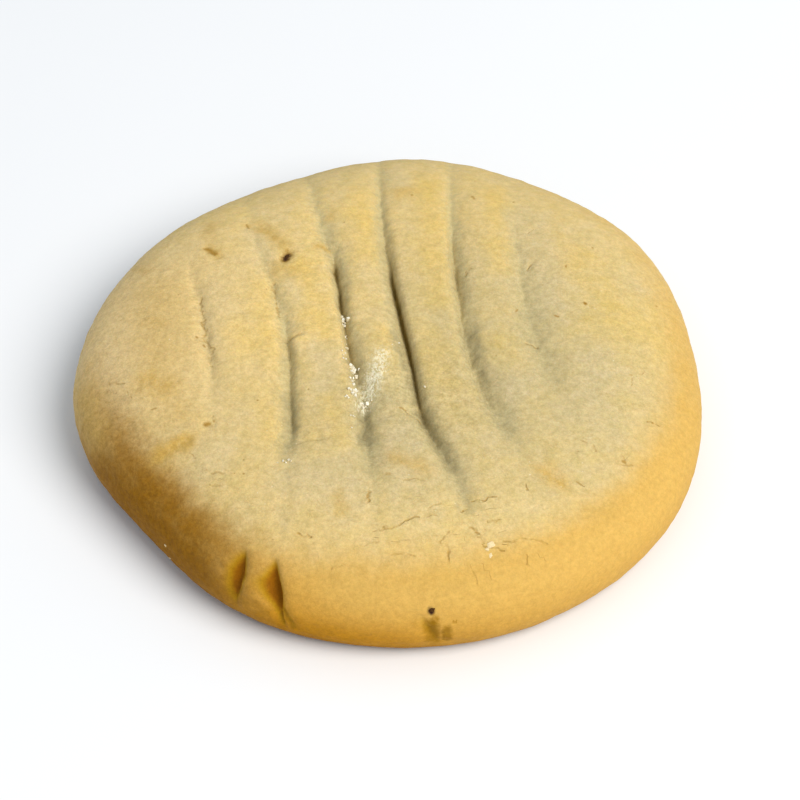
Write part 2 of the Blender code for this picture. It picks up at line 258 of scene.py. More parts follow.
# Hairline cracks
CRACKS = strokes(
    # along the front of the top
    (-9.2, -27.3, -7.7, -27.7, 0.19, 1), (-1.2, -27.4, 1.7, -26.4, 0.2, 1),
    (1.7, -26.4, 3.6, -25.9, 0.18, 0.8), (3.6, -25.9, 5.4, -25.4, 0.15, 0.5),
    (-1.9, -22.5, -1.9, -24, 0.24, 0.9), (9.1, -23.6, 9.9, -23.2, 0.19, 1),
    (10.2, -23.4, 11.7, -23.1, 0.2, 1), (10.8, -26, 12, -25.6, 0.22, 1),
    (8.9, -26.6, 9.9, -27.1, 0.2, 1), (5.7, -28.6, 6.7, -27.3, 0.16, 0.6),
    (6.4, -28.6, 6.8, -30.2, 0.28, 0.9), (9.8, -27.6, 10.3, -28.6, 0.18, 0.6),
    (10.3, -28.7, 12.4, -28.9, 0.22, 1), (12.3, -27.9, 15.1, -27.3, 0.16, 0.7),
    (15.1, -27.3, 17, -27.5, 0.15, 0.5), (9, -30.6, 9.5, -32.2, 0.15, 0.5),
    (14.7, -29, 14.8, -29.9, 0.17, 0.8), (-5.6, -30.9, -4.2, -30.6, 0.15, 0.5),
    (0.4, -29.6, 3.2, -30, 0.15, 0.5), (-2.6, -29, -0.6, -28.4, 0.15, 0.4),
    (4.5, -24.9, 5.8, -24, 0.16, 0.5), (7.9, -24.9, 8.6, -24.6, 0.18, 0.6),
    # on the right
    (28.3, -11.1, 29.6, -11.2, 0.15, 0.8), (24.6, -17.3, 26.4, -17, 0.18, 0.6),
    (25.4, -16.9, 25.3, -16, 0.15, 0.5), (20.9, -15, 21.6, -15.2, 0.15, 0.6),
    (22.3, -15.3, 22.4, -16.2, 0.15, 0.6), (20.3, -20.2, 21, -20.8, 0.15, 0.8),
    (14.9, -21.2, 14.9, -21.9, 0.15, 0.8), (28.4, -3.9, 27.8, -4.9, 0.15, 0.6),
    (27, -5.3, 26.9, -6.3, 0.15, 0.6),
    # wrinkles beside the last two furrows
    (16.3, 17, 16.8, 17.8, 0.18, 0.7), (16.4, 11.6, 16, 10.7, 0.18, 0.7),
    (8.8, 9.6, 9.4, 10.8, 0.15, 0.6), (15.4, -0.8, 16.8, -1.3, 0.18, 0.7),
    # where a fold runs into the fourth furrow
    (1.5, -10.9, 3.1, -11.6, 0.2, 0.7), (3.1, -11.6, 3.9, -12.2, 0.2, 0.8),
    # scores across the ridges
    (0.9, -21.1, 4.1, -21.2, 0.16, 0.5), (-9.9, -16, -6, -15.2, 0.22, 0.25),
    (-11.1, -0.6, -9.3, 0.1, 0.18, 0.45),
    # at the front left
    (-19.3, -18.5, -17.1, -19.2, 0.17, 0.6), (-18.7, -20.1, -17.4, -20.5, 0.16, 0.5),
    (-21, -16, -20.3, -16.6, 0.16, 0.6),
    # in the beds of the first two furrows
    (-20.9, 6.6, -20.5, 3.4, 0.26, 0.55), (-20.5, 3.4, -19.95, 0.2, 0.28, 0.75),
    (-19.95, 0.2, -19.4, -2, 0.26, 0.65), (-19.4, -2, -18.8, -4.6, 0.24, 0.5),
    (-12.55, 8.8, -12.2, 6.3, 0.26, 0.8), (-12.2, 6.3, -11.8, 3.2, 0.24, 0.65),
    # by the left edge
    (-30.3, -4.8, -28.6, -5.6, 0.17, 0.6), (-28.2, -6.8, -27.5, -7.5, 0.17, 0.6),
    (-31.4, -6.3, -30, -7.4, 0.17, 0.6),
)

# Golden stains of butter
GOLDEN_STAINS = strokes(
    (-26.2, 8, -25, -3, 3.6, 0.38), (-26.3, 3.4, -24.8, 2.3, 1.9, 0.5),
    (-33.6, -6, -32.6, -10.5, 2.6, 0.7), (-25.6, -5.5, -23.9, -7.2, 2, 0.75),
    (-22.9, -9, -22.3, -11.1, 1.8, 0.35), (-24.3, -15.6, -21.2, -14.4, 1.1, 0.95),
    (-28.2, 13.9, -27.1, 12.3, 1, 0.4), (-20.4, 19.7, -20.5, 17.5, 1, 0.45),
    (-20.1, 15.2, -19.1, 13.4, 0.7, 0.6), (-15.9, 19, -14.2, 18.3, 0.7, 0.5),
    (-14.3, 18.4, -12.6, 16.1, 1, 0.75), (-12.6, 16.1, -11.3, 14.6, 0.9, 0.6),
    (-12.2, 10.9, -10.5, 10.4, 1.5, 0.5), (-7, 14.6, -7.5, 14.7, 0.6, 0.85),
    (-6.4, 19.9, -6.5, 20.6, 0.6, 0.55), (2.9, 24.7, 1.3, 24, 1, 0.55),
    (0.9, -18, 4.1, -19.8, 1.1, 0.5), (1.7, -18.9, 1.7, -19.1, 0.5, 0.6),
    (-4.8, -23.3, -4.6, -24.9, 1, 0.4), (16.8, -19.4, 18.6, -20.6, 1.2, 0.75),
    (21.3, -23.4, 23.7, -22.6, 1, 0.5), (4.6, -31.8, 7.2, -31.6, 1.8, 0.3),
)

# Deeper yellow streaks just left of each furrow: partly where the fork smoothed the ridges, partly painted
# light on the banks that face the key light
YELLOW_STREAKS = strokes(
    (-23.8, 8.2, -21.9, 1.4, 1.9, 0.8), (-13.9, 8, -13.6, -0.8, 1.8, 0.9),
    (-17, 1, -15.2, -0.8, 2.2, 1), (-13, -9.9, -11.7, -15.8, 1.6, 0.7),
    (-9.4, 11.6, -7, 0, 1.7, 1), (-6.1, -10.1, -4.6, -16, 1.3, 0.9),
    (-3.2, 24, -1.9, 13.5, 1.8, 1), (-0.2, 0.6, 1, -5.9, 1.4, 0.8),
    (4.9, 26, 5.8, 5, 1.8, 0.9), (4.8, -1, 6.8, -10.4, 1.9, 0.6),
    (12.6, 25.5, 13, 11, 1.5, 1), (12.4, -0.5, 14.2, -4.5, 2, 0.6),
    (28.5, 6, 30.5, 0, 3, 0.6), (23.5, 12, 25.5, 3, 4, 1),
)

# Where flour stayed on, they are paler
FLOURY_PATCHES = strokes(
    (-19.2, 7.6, -18.9, -0.8, 1.7, 0.9), (-15.3, 18, -13.2, 11.4, 1.1, 0.9),
    (-10.8, 8.8, -9.8, 5.6, 1, 0.8), (-7.4, -2.6, -6.9, -10.4, 1.8, 0.7),
    (-10.2, -19.7, -3.8, -21.5, 3, 0.8), (-18.3, -16.2, -19.8, -18.4, 2.4, 0.8),
    (-31.3, 0.4, -28.5, -7.9, 2.4, 0.8), (0.9, 28.5, 1.7, 25.6, 1.7, 1),
    (2.5, -14.5, 1.5, -20.5, 2.5, 0.7), (14.5, -7.1, 12.2, -10.1, 2.4, 0.7),
    (15.8, 18.5, 18.2, 5.9, 3.4, 0.9), (22, -9.6, 23.4, -3.5, 3.6, 0.6),
    (22, 17, 27, 10, 3, 0.5),
)

# The frosty smear of sugar beside the third furrow
FROST = strokes(
    (-0.4, -3, -0.8, -5.3, 0.95, 0.8), (-0.9, -5.3, -1.9, -8.3, 1.05, 1),
    (-1.9, -8.3, -2.4, -10.2, 0.8, 0.9),
)

# Toasted specks and smears, on the top and then on the side
BROWN_SPECKS = strokes(
    # on the left
    (-20.4, 15, -19.5, 13.8, 0.6, 0.75), (-19.9, 14.2, -19.8, 14, 0.25, 0.6),
    (-20.9, 0, -20.8, -0.1, 0.22, 0.7), (-20.1, -1.1, -20, -1.3, 0.19, 0.7),
    (-13.8, -9.8, -13.8, -9.8, 0.19, 0.75), (-23.3, 7.1, -23.3, 7.1, 0.16, 0.5),
    (-29.7, 4.7, -29.7, 4.7, 0.18, 0.5), (-19.4, -12.6, -19, -12.5, 0.4, 0.8),
    (-18.6, -12.2, -18.5, -12.2, 0.28, 0.6), (-25.3, -9.8, -24.8, -9.7, 0.16, 0.5),
    (-15, -19.5, -15, -19.5, 0.2, 0.7), (-16, -19.3, -16, -19.3, 0.17, 0.55),
    (-16.1, 19.3, -15.9, 18.5, 0.24, 0.55),
    # at the back
    (2.9, 23.8, 3, 23.8, 0.24, 0.6), (10, 23.7, 10.2, 23.3, 0.28, 0.55),
    (14.8, 23.2, 14.9, 23.3, 0.22, 0.5),
    # on the right
    (22.2, 5.2, 22.3, 5.2, 0.33, 0.9), (18.8, 3.1, 19.1, 3, 0.26, 0.65),
    (23.5, 14.7, 23.5, 14.9, 0.22, 0.6), (20.3, 11.1, 20.3, 10.9, 0.22, 0.65),
    (14.5, 3.9, 14.7, 4.2, 0.19, 0.6), (17.6, 8, 17.6, 8, 0.17, 0.45),
    (30.4, 7.2, 30.4, 7.2, 0.28, 0.55), (26.8, -4.8, 27, -4.8, 0.2, 0.5),
    (28.9, -11.1, 28.9, -11.1, 0.22, 0.6), (25.4, -16.9, 25.6, -16.9, 0.34, 0.7),
    # at the front
    (0.2, -20.3, 0.4, -20.4, 0.36, 0.45), (8.2, -24.8, 8.2, -24.8, 0.2, 0.65),
    (14.3, -12.1, 14.3, -12.1, 0.16, 0.3),
    # round the burnt grain
    (-11.5, 12.5, -11.1, 13.4, 1, 0.8),
) + strokes(
    (7.2, 6.2, 7.2, 6.3, 0.22, 0.75), (4.9, 6.4, 5.1, 3.2, 1.2, 1),
    (6.4, 5.4, 6.6, 3.4, 0.8, 0.85), (3.9, 6.4, 4.3, 4.4, 1.3, 0.7),
    (-10.8, 5.9, -9.9, 3.6, 0.5, 0.85),
    on_side=True,
)

# A burnt grain's dark surround on the top, and one on the front of the rim
DARK_SPECKS = strokes(
    (-11.45, 12.6, -11.15, 13.2, 0.62, 0.95),
) + strokes(
    (4.8, 7.8, 4.9, 7.7, 0.55, 1),
    on_side=True,
)

MARKS = {"crack": CRACKS, "speck": BROWN_SPECKS, "dark_speck": DARK_SPECKS}


# ---- What a user would change ----


def length(name, description, default, low, high):
    """A length in metres."""
    return FloatProperty(
        name=name, description=description, default=default, min=low, max=high, precision=5,
        subtype="DISTANCE", unit="LENGTH",
    )


def angle(name, description, degrees):
    return FloatProperty(
        name=name, description=description, default=math.radians(degrees), subtype="ANGLE", unit="ROTATION"
    )


def colour(name, description, *shade):
    return FloatVectorProperty(
        name=name, description=description, default=(*shade, 1), size=4, min=0, max=1, subtype="COLOR"
    )


class DoughSettings(bpy.types.PropertyGroup):
    """The baked dough: how deep its marks are, and its colours."""

    furrow_depth: length("Furrow depth", "Depth of the deepest fork furrow", 2.1 * MM, 0.5 * MM, 3 * MM)
    lump_height: length("Lump height", "Height of the small lumps of the surface", 0.08 * MM, 0, 0.3 * MM)
    grain_height: length("Grain height", "Height of the sandy grain", 0.04 * MM, 0, 0.2 * MM)
    crack_depth: length("Crack depth", "Depth of the hairline cracks", 0.10 * MM, 0, 0.5 * MM)
    pale: colour("Pale top", "The floury, least baked dough on the top", 0.67, 0.52, 0.24)
    # the yellow ridges are partly painted light on the banks that face the key light
    yellow: colour("Yellow ridges", "The ridges that the fork smoothed", 0.72, 0.515, 0.165)
    # the grey of the furrow banks is partly duller dough and partly painted shade
    furrow: colour("Furrow", "The duller dough in the furrows", 0.56, 0.46, 0.225)
    # the grey low in the furrows is partly duller dough and partly painted shade
    furrow_shade: colour("Furrow shade", "The greyer dough low in the furrows", 0.35, 0.29, 0.145)
    # painted shade: the dark line in the cleft beds
    furrow_bed: colour("Furrow bed", "The dark line in the bed of a deep furrow", 0.16, 0.095, 0.010)
    tan: colour("Tanned top", "The left of the top, where it has taken a little colour", 0.73, 0.535, 0.245)
    amber: colour("Amber rim", "The deeper orange low on the front of the rim", 0.58, 0.26, 0.004)
    golden: colour("Golden rim", "The rim where it has started to brown", 0.625, 0.385, 0.095)
    # brown crust; where the band lies on the front left of the rim it is partly painted shade
    brown: colour("Brown crust", "The most baked parts, on the side and the base", 0.29, 0.125, 0.004)
    fold_edge: colour("Fold edge", "The yellow brown edge of the pinched folds", 0.44, 0.235, 0.004)
    # the dark middles of the folds are partly browning and partly painted shade
    fold: colour("Fold", "The deep golden brown inside the pinched folds", 0.29, 0.10, 0.001)
    stain: colour("Stain", "The golden stains of butter", 0.57, 0.355, 0.08)
    frost: colour("Frost", "The smear of fine sugar", 0.90, 0.84, 0.60)
    crack: colour("Crack", "Inside the hairline cracks and pinholes", 0.41, 0.235, 0.045)
    brown_speck: colour("Brown speck", "The small toasted specks and smears", 0.32, 0.155, 0.004)
    speck: colour("Dark speck", "The burnt specks", 0.035, 0.010, 0.006)


class SugarSettings(bpy.types.PropertyGroup):
    """The coarse sugar that shows in the third furrow."""

    size: length("Crystal size", "Length of the largest crystal", 0.52 * MM, 0.1 * MM, 1.5 * MM)
    count: IntProperty(
        name="Crystals", description="How many crystals lie in each handful", default=12, min=1, max=60
    )
    tint: colour("Sugar", "Colour of the sugar", 0.94, 0.90, 0.77)


class ChipSettings(bpy.types.PropertyGroup):
    """Pale chips of dough on the rim, and dark grains baked into it."""

    chip_size: length("Chip size", "Length of the largest chip", 0.9 * MM, 0.2 * MM, 3 * MM)
    grain_size: length("Grain size", "Width of the largest dark grain", 0.8 * MM, 0.2 * MM, 2 * MM)
    pale: colour("Chip", "Colour of the pale chips", 0.84, 0.68, 0.38)
    dark: colour("Grain", "Colour of the dark grains", 0.035, 0.014, 0.005)


class StudioSettings(bpy.types.PropertyGroup):
    """The floor and the light."""

    floor: colour("Floor", "Colour of the plain floor", 0.86, 0.86, 0.86)
    floor_width: length("Floor width", "Width of the floor", 8.0, 1.0, 50.0)
    key_power: FloatProperty(
        name="Key light", description="Power of the large soft light", default=6.4, min=0, unit="POWER"
    )
    key_width: length("Key width", "Width of the large soft light", 0.60, 0.05, 2.0)
    key_way: angle("Key direction", "The way to the light, from the right side towards the back", -38)
    key_height: angle("Key height", "How high the light stands above the horizon", 50)
    sky: colour("Sky", "Colour of the even light from all round", 0.82, 0.90, 1.0)
    sky_strength: FloatProperty(
        name="Sky strength", description="Brightness of the even light", default=0.60, min=0
    )


# ---- The dough's form ----


def outline_radius(angles):
    """The half width in a direction: a smooth closed curve through the points of OUTLINE."""
    waves = np.fft.rfft(OUTLINE) * HALF_WIDTH / len(OUTLINE)
    radius = np.full_like(angles, waves[0].real)
    for turns in range(1, len(waves)):
        share = 1 if 2 * turns == len(OUTLINE) else 2
        radius += share * (waves[turns] * np.exp(1j * turns * angles)).real
    return radius


def section(steps):
    """Half of the section, from the top's middle to the base's: share of the half width, inset, height."""
    turn = np.linspace(0, np.pi / 2, steps)
    out, up = TOP_SQUARENESS
    top_share = np.sin(turn) ** (2 / out)
    top_height = WIDEST_HEIGHT + (THICKNESS - WIDEST_HEIGHT) * np.cos(turn) ** (2 / up)
    side_inset = FOOT_INSET * (1 - np.cos(turn) ** (2 / LOWER_SQUARENESS))
    side_height = WIDEST_HEIGHT * (1 - np.sin(turn) ** (2 / LOWER_SQUARENESS))
    base_share = np.linspace(1, 0, steps)
    none = np.zeros(steps)
    share = np.concatenate([top_share, none + 1, base_share])
    inset = np.concatenate([none, side_inset, FOOT_INSET * base_share])
    height = np.concatenate([top_height, side_height, none])
    return share, inset, height


def smooth_body(directions, steps=400):
    """Spreads the points of a unit ball over the plain domed round, closer where the form needs them."""
    share, inset, height = section(steps)
    reach = share * HALF_WIDTH - inset
    step = np.hypot(np.diff(reach), np.diff(height)) * np.repeat(CLOSENESS, steps)[1:]
    area = np.concatenate([[0], np.cumsum(step * (reach[1:] + reach[:-1]))])
    wanted = (1 - directions[:, 2]) / 2 * area[-1]
    way = np.arctan2(directions[:, 1], directions[:, 0])
    radius = np.interp(wanted, area, share) * outline_radius(way) - np.interp(wanted, area, inset)
    return np.stack([radius * np.cos(way), radius * np.sin(way), np.interp(wanted, area, height)], axis=1)


def read_along(along, points):
    """Reads where a crease lies, its depth, banks and lean, on a smooth curve through its points."""
    knots = np.array(points[::-1], float)
    places = knots[:, 1]
    slopes = np.gradient(knots, places, axis=0)
    at = np.clip(along, places[0], places[-1])
    first = np.clip(np.searchsorted(places, at) - 1, 0, len(places) - 2)
    span = (places[first + 1] - places[first])[:, None]
    t = (at - places[first])[:, None] / span
    curve = (
        (2 * t**3 - 3 * t**2 + 1) * knots[first]
        + (t**3 - 2 * t**2 + t) * span * slopes[first]
        + (3 * t**2 - 2 * t**3) * knots[first + 1]
        + (t**3 - t**2) * span * slopes[first + 1]
    )
    lean = np.interp(at, places, slopes[:, 0])
    least_bank = 0.2
    banks = np.maximum(curve[:, 3:], least_bank)
    return curve[:, 0], np.maximum(curve[:, 2], 0), banks[:, 0], banks[:, 1], lean


def creased(across, along, creases, stray):
    """The depth of the creases, as a share of the furrow depth, at places given across and along them."""
    sunk = np.zeros_like(across)
    for crease in creases:
        bed, depth, left_bank, right_bank, lean = read_along(along, crease.points)
        away = (across + crease.ragged * stray - bed) / np.hypot(1, lean)
        bank = np.where(away < 0, left_bank, right_bank)
        sunk += depth * np.exp(-np.abs(away / bank) ** CREASE_SHARPNESS)
    return sunk


def gathered(across, along, creases):
    """How far to draw the points of the mesh across, towards the beds of the creases."""
    shift = np.zeros_like(across)
    for crease in creases:
        bed, depth, *_ = read_along(along, crease.points)
        away = across - bed
        shift -= GATHER * np.clip(depth / GATHER_FROM, 0, 1) * away * np.exp(-((away / GATHER_REACH) ** 2))
    return shift


def unevenness(points):
    """The gentle swells of hand-rolled dough, up to a fifth of a millimetre."""
    x, y, z = (points / 7).T
    return 0.1 * (np.sin(x + 1.7 * np.sin(0.8 * y)) + np.sin(1.3 * y - 0.6 * x + 1.1 * z + 2))


def way_round(x, y):
    """How far round the side a place is from the front, towards +X."""
    return HALF_WIDTH * np.arctan2(x, -y)


def rising(values, low, high):
    """0 up to low, rising smoothly to 1 at high."""
    t = np.clip((values - low) / (high - low), 0, 1)
    return t * t * (3 - 2 * t)


def fading(values, low, high):
    """1 up to low, falling smoothly to 0 at high."""
    return 1 - rising(values, low, high)


def on_the_top(z):
    """0 round the side and 1 on the top."""
    return np.clip((z - WIDEST_HEIGHT) / TOP_MARGIN, 0, 1)


def broad_patch(x, y, centre, half_width, half_length):
    """1 in a wide patch of the top, and falling to 0 past its edge."""
    return np.exp(-np.abs((x - centre[0]) / half_width) ** 4 - np.abs((y - centre[1]) / half_length) ** 4)


def noise_over(points, size, part=0):
    """Blender's smooth noise at many places, about -1 to 1. Each part of the roughness has its own."""
    shifted = points / size + 17.3 * part
    return np.array([noise.noise(place) for place in shifted.tolist()])


def nearness(x, y, stroke):
    """1 along the line of a dent or a soft mark, and falling to 0 over its width."""
    start, line = stroke.start, stroke.end - stroke.start
    t = np.clip(((x - start[0]) * line[0] + (y - start[1]) * line[1]) / max(line @ line, 1e-6), 0, 1)
    away = np.hypot(x - start[0] - t * line[0], y - start[1] - t * line[1])
    return np.exp(-((away / stroke.width) ** 2))


def dented(x, y):
    return sum(dent.strength * nearness(x, y, dent) for dent in DENTS)


def strewn(x, y, marks):
    """How strongly the soft marks of one kind show, where several overlap the strongest."""
    most = np.zeros_like(x)
    for mark in marks:
        most = np.maximum(most, mark.strength * nearness(x, y, mark))
    return most


def places_in_strokes(body, marks):
    """Where each point lies in its nearest stroke: past the ends, across (in widths), and the strength."""
    x, y, z = body.T
    out_of_reach = 100 * (z < WIDEST_HEIGHT)  # marks in plan stay off the underside
    nearest = np.zeros((len(body), 3))
    most = np.full(len(body), -1.0)
    for stroke in marks:
        across, along = (way_round(x, y), z) if stroke.on_side else (x, y + out_of_reach)
        start, line = stroke.start, stroke.end - stroke.start
        span = np.hypot(*line)
        way = line / span if span > 0 else np.array([1.0, 0.0])
        forward = (across - start[0]) * way[0] + (along - start[1]) * way[1]
        past = (forward - np.clip(forward, 0, span)) / stroke.width
        aside = ((along - start[1]) * way[0] - (across - start[0]) * way[1]) / stroke.width
        weight = stroke.strength * np.exp(-(past**2 + aside**2) / 4)
        closer = weight > most
        most[closer] = weight[closer]
        nearest[closer] = np.stack([past, aside, stroke.strength + 0 * past], axis=1)[closer]
    return nearest


def toward(body, degrees, spread, flatness=2):
    """1 on the side that faces a way, in degrees from the right towards the back, falling to 0 round it."""
    way = np.arctan2(body[:, 1], body[:, 0])
    off = np.degrees(np.angle(np.exp(1j * (way - math.radians(degrees)))))
    return np.exp(-np.abs(off / spread) ** flatness)


def goldened(body):
    """How golden the rim has turned, most at the front and the right."""
    top = 12.8 + 0.45 * toward(body, -84, 20) - 0.6 * toward(body, -122, 14)
    return fading(body[:, 2], 9.2, top) * np.clip(0.15 + 0.85 * toward(body, -62, 85), 0, 1)


def ambered(body):
    """How deep an orange the golden rim has turned, low on the front."""
    top = 9.8 + 2.4 * toward(body, -109, 9)
    return fading(body[:, 2], 3, top) * (0.2 + 0.8 * toward(body, -104, 30))


def browned(body):
    """How brown the crust is: the lowest part of the side all round, and a band on the front left of the rim
    that is partly browning and partly painted shade of the side turned from the key light.
    """
    z = body[:, 2]
    top = 12.75 + 0.5 * toward(body, -155, 15)
    band = 0.79 * fading(z, 9.0, top) + 0.22 * fading(z, 5.5, 9)
    band *= toward(body, -146, 34, 3) * (1 - 0.55 * fading(z, 8.5, 11.5) * toward(body, -178, 22))
    low = fading(z, 0.5, 9) * (0.16 + 0.5 * toward(body, -116, 36))
    under = 0.4 * fading(z, 0, 2.5)
    return np.clip(np.maximum(band, low) + under, 0, 1)


def tanned(x, y):
    """How tanned the left of the top is."""
    return fading(x, -27, -10) * fading(y, 8, 24) * rising(y, -20, -6)


def painted_edge_light(x, y):
    """Painted light: where the left edge of the top is painted lighter and bluer."""
    return fading(x, -33, -24) * np.exp(-np.abs((y - 5) / 16) ** 4)


def gritty(x, y, golden, brown):
    """How gritty the dough looks: the brown crust most, and the back and the golden rim least."""
    beside = np.exp(-(((x - 3) / 8) ** 2) - ((y + 9) / 6) ** 2)
    return 0.60 - 0.24 * rising(y, 8, 30) - 0.20 * golden + 0.45 * brown + 0.3 * beside


def dried(x, y):
    """How wrinkled the skin is, most at the front and the left."""
    sides = 0.7 * rising(np.abs(x), 14, 26)
    return np.clip(0.3 + fading(y, -22, -8) + sides, 0, 1) * (1 - 0.5 * rising(y, 12, 30))


class Surface(NamedTuple):
    """What is known of every point of the dough."""

    points: np.ndarray
    numbers: dict  # how deep a point is in a furrow or fold, how golden, brown, pale or yellow it is, and where painted light or shade lies
    places: dict  # where a point lies in the nearest stroke of each kind of mark


def shape_surface(body, normals, furrow_depth, lump_height):
    """Presses the relief into the smooth body, from the furrows down to the small lumps."""
    x, y, z = body.T
    above_base = np.clip(z / BASE_MARGIN, 0, 1)
    on_top = on_the_top(z)
    off_rim = RIM_SHARE + (1 - RIM_SHARE) * rising(z, *RIM_HEIGHTS)
    stray = noise_over(body, 1.6, 1) + 0.6 * noise_over(body, 0.7, 2)  # lets the marks wander
    furrow = on_top * creased(x, y, FURROWS, stray)
    cleft = on_top * creased(x, y, CLEFTS, stray)
    pinch = above_base * creased(way_round(x, y), z, PINCHES, stray)
    hollow = on_top * strewn(x + 0.30 * stray, y - 0.3 * stray, HOLLOWS)
    middle = on_top * broad_patch(x, y, *LOWERED_PATCH)
    lumps = noise_over(body, 4.5, 3) + 0.7 * noise_over(body, 1.9, 4) + 0.4 * noise_over(body, 0.9, 5)
    lumps += 0.5 * noise_over(body * np.array([0.6, 1, 1]), 0.7, 7)
    ragged = noise_over(body, 0.8, 6) + 0.6 * noise_over(body, 0.4, 9)
    torn = rising(furrow, 0.1, 0.5) * ragged * TORN_HEIGHT
    sunk = furrow_depth * (off_rim * (furrow + cleft) + pinch + MIDDLE_SHARE * middle)
    sunk += above_base * (unevenness(body) + lump_height * lumps + torn)
    sunk += on_top * dented(x + 0.25 * stray, y - 0.2 * stray) + HOLLOW_DEPTH * hollow
    points = body - normals * sunk[:, None]
    points[:, 2] = np.maximum(points[:, 2], 0)
    numbers = {"furrow": furrow, "cleft": cleft, "hollow": hollow, "pinch": pinch}
    numbers.update(baked_look(body, on_top, stray))
    return Surface(points, numbers, {name: places_in_strokes(body, marks) for name, marks in MARKS.items()})


def baked_look(body, on_top, stray):
    """How golden, brown, dry, pale or yellow every point is, and where painted light or shade lies on it."""
    x, y, z = body.T
    astray = x + 0.45 * stray, y + 0.5 * noise_over(body, 1.3, 8)
    golden, brown, dry = goldened(body), browned(body), dried(x, y)
    return {
        "golden": golden,
        "amber": ambered(body),
        # brown: the crust, and on the front left of the rim partly painted shade
        "brown": brown,
        "grit": gritty(x, y, golden, brown),
        "dried": dry,
        "floury": dry * rising(z, 11, 13),
        # the patch of painted shade on the top
        "pressed": on_top * broad_patch(x, y, *PAINTED_SHADE_PATCH),
        # the patch of painted light on the left of the top
        "painted_light": on_top * broad_patch(x, y, *PAINTED_LIGHT_PATCH),
        # painted light along the left edge of the top
        "painted_edge_light": on_top * painted_edge_light(x, y),
        "tan": on_top * tanned(x, y),
        "tone": on_top * (strewn(*astray, YELLOW_STREAKS) - strewn(*astray, FLOURY_PATCHES)),
        "stain": on_top * strewn(*astray, GOLDEN_STAINS),
        "frost": on_top * strewn(x, y, FROST),
    }


# ---- The dough's mesh ----


def read_vectors(items, name):
    values = np.empty(len(items) * 3, np.float32)
    items.foreach_get(name, values)
    return values.reshape(-1, 3).astype(float)


def place_points(mesh, points):
    mesh.vertices.foreach_set("co", points.astype(np.float32).ravel())
    mesh.update()


def gather_points(body, normals):
    """Slides the points over the smooth surface, so that more of them lie along the creases."""
    x, y, z = body.T
    zero = np.zeros_like(x)
    sideways = np.stack([zero + 1, zero, zero], axis=1)
    around = np.stack([-y, x, zero], axis=1) / (np.hypot(x, y) + 1)[:, None]
    shift = (on_the_top(z) * gathered(x, y, FURROWS))[:, None] * sideways
    shift += gathered(way_round(x, y), z, PINCHES)[:, None] * around
    outward = np.sum(shift * normals, axis=1)
    return body + shift - outward[:, None] * normals


def fine_ball(levels):
    """A ball of even quads, as a mesh, and the directions of its points."""
    bpy.ops.mesh.primitive_cube_add(size=2)
    cube = bpy.context.object
    split = cube.modifiers.new("split", "SUBSURF")
    split.subdivision_type = "SIMPLE"
    split.levels = split.render_levels = levels
    graph = bpy.context.evaluated_depsgraph_get()
    mesh = bpy.data.meshes.new_from_object(cube.evaluated_get(graph))
    bpy.data.objects.remove(cube)
    spread = np.tan(read_vectors(mesh.vertices, "co") * np.pi / 4)
    return mesh, spread / np.linalg.norm(spread, axis=1)[:, None]


def settle(points):
    """Puts the middle of the outline over the origin and the flat base on the floor."""
    middle = (points.min(axis=0) + points.max(axis=0)) / 2
    points[:, :2] -= middle[:2]
    base_band = 0.05
    points[points[:, 2] < base_band, 2] = 0
    return points


def store(mesh, surface):
    """Keeps what the colours depend on with the mesh."""
    for name, values in surface.numbers.items():
        layer = mesh.attributes.new(name, "FLOAT", "POINT")
        layer.data.foreach_set("value", values.astype(np.float32))
    for name, places in surface.places.items():
        layer = mesh.attributes.new(name, "FLOAT_VECTOR", "POINT")
        layer.data.foreach_set("vector", np.clip(places, -50, 50).astype(np.float32).ravel())


def dough_mesh(settings):
    mesh, directions = fine_ball(levels=7)
    mesh.name = "dough"
    body = smooth_body(directions)
    place_points(mesh, body)
    normals = read_vectors(mesh.vertex_normals, "vector")
    body = gather_points(body, normals)
    surface = shape_surface(body, normals, settings.furrow_depth / MM, settings.lump_height / MM)
    place_points(mesh, settle(surface.points) * MM)
    store(mesh, surface)
    mesh.shade_smooth()
    return mesh


# ---- Nodes ----


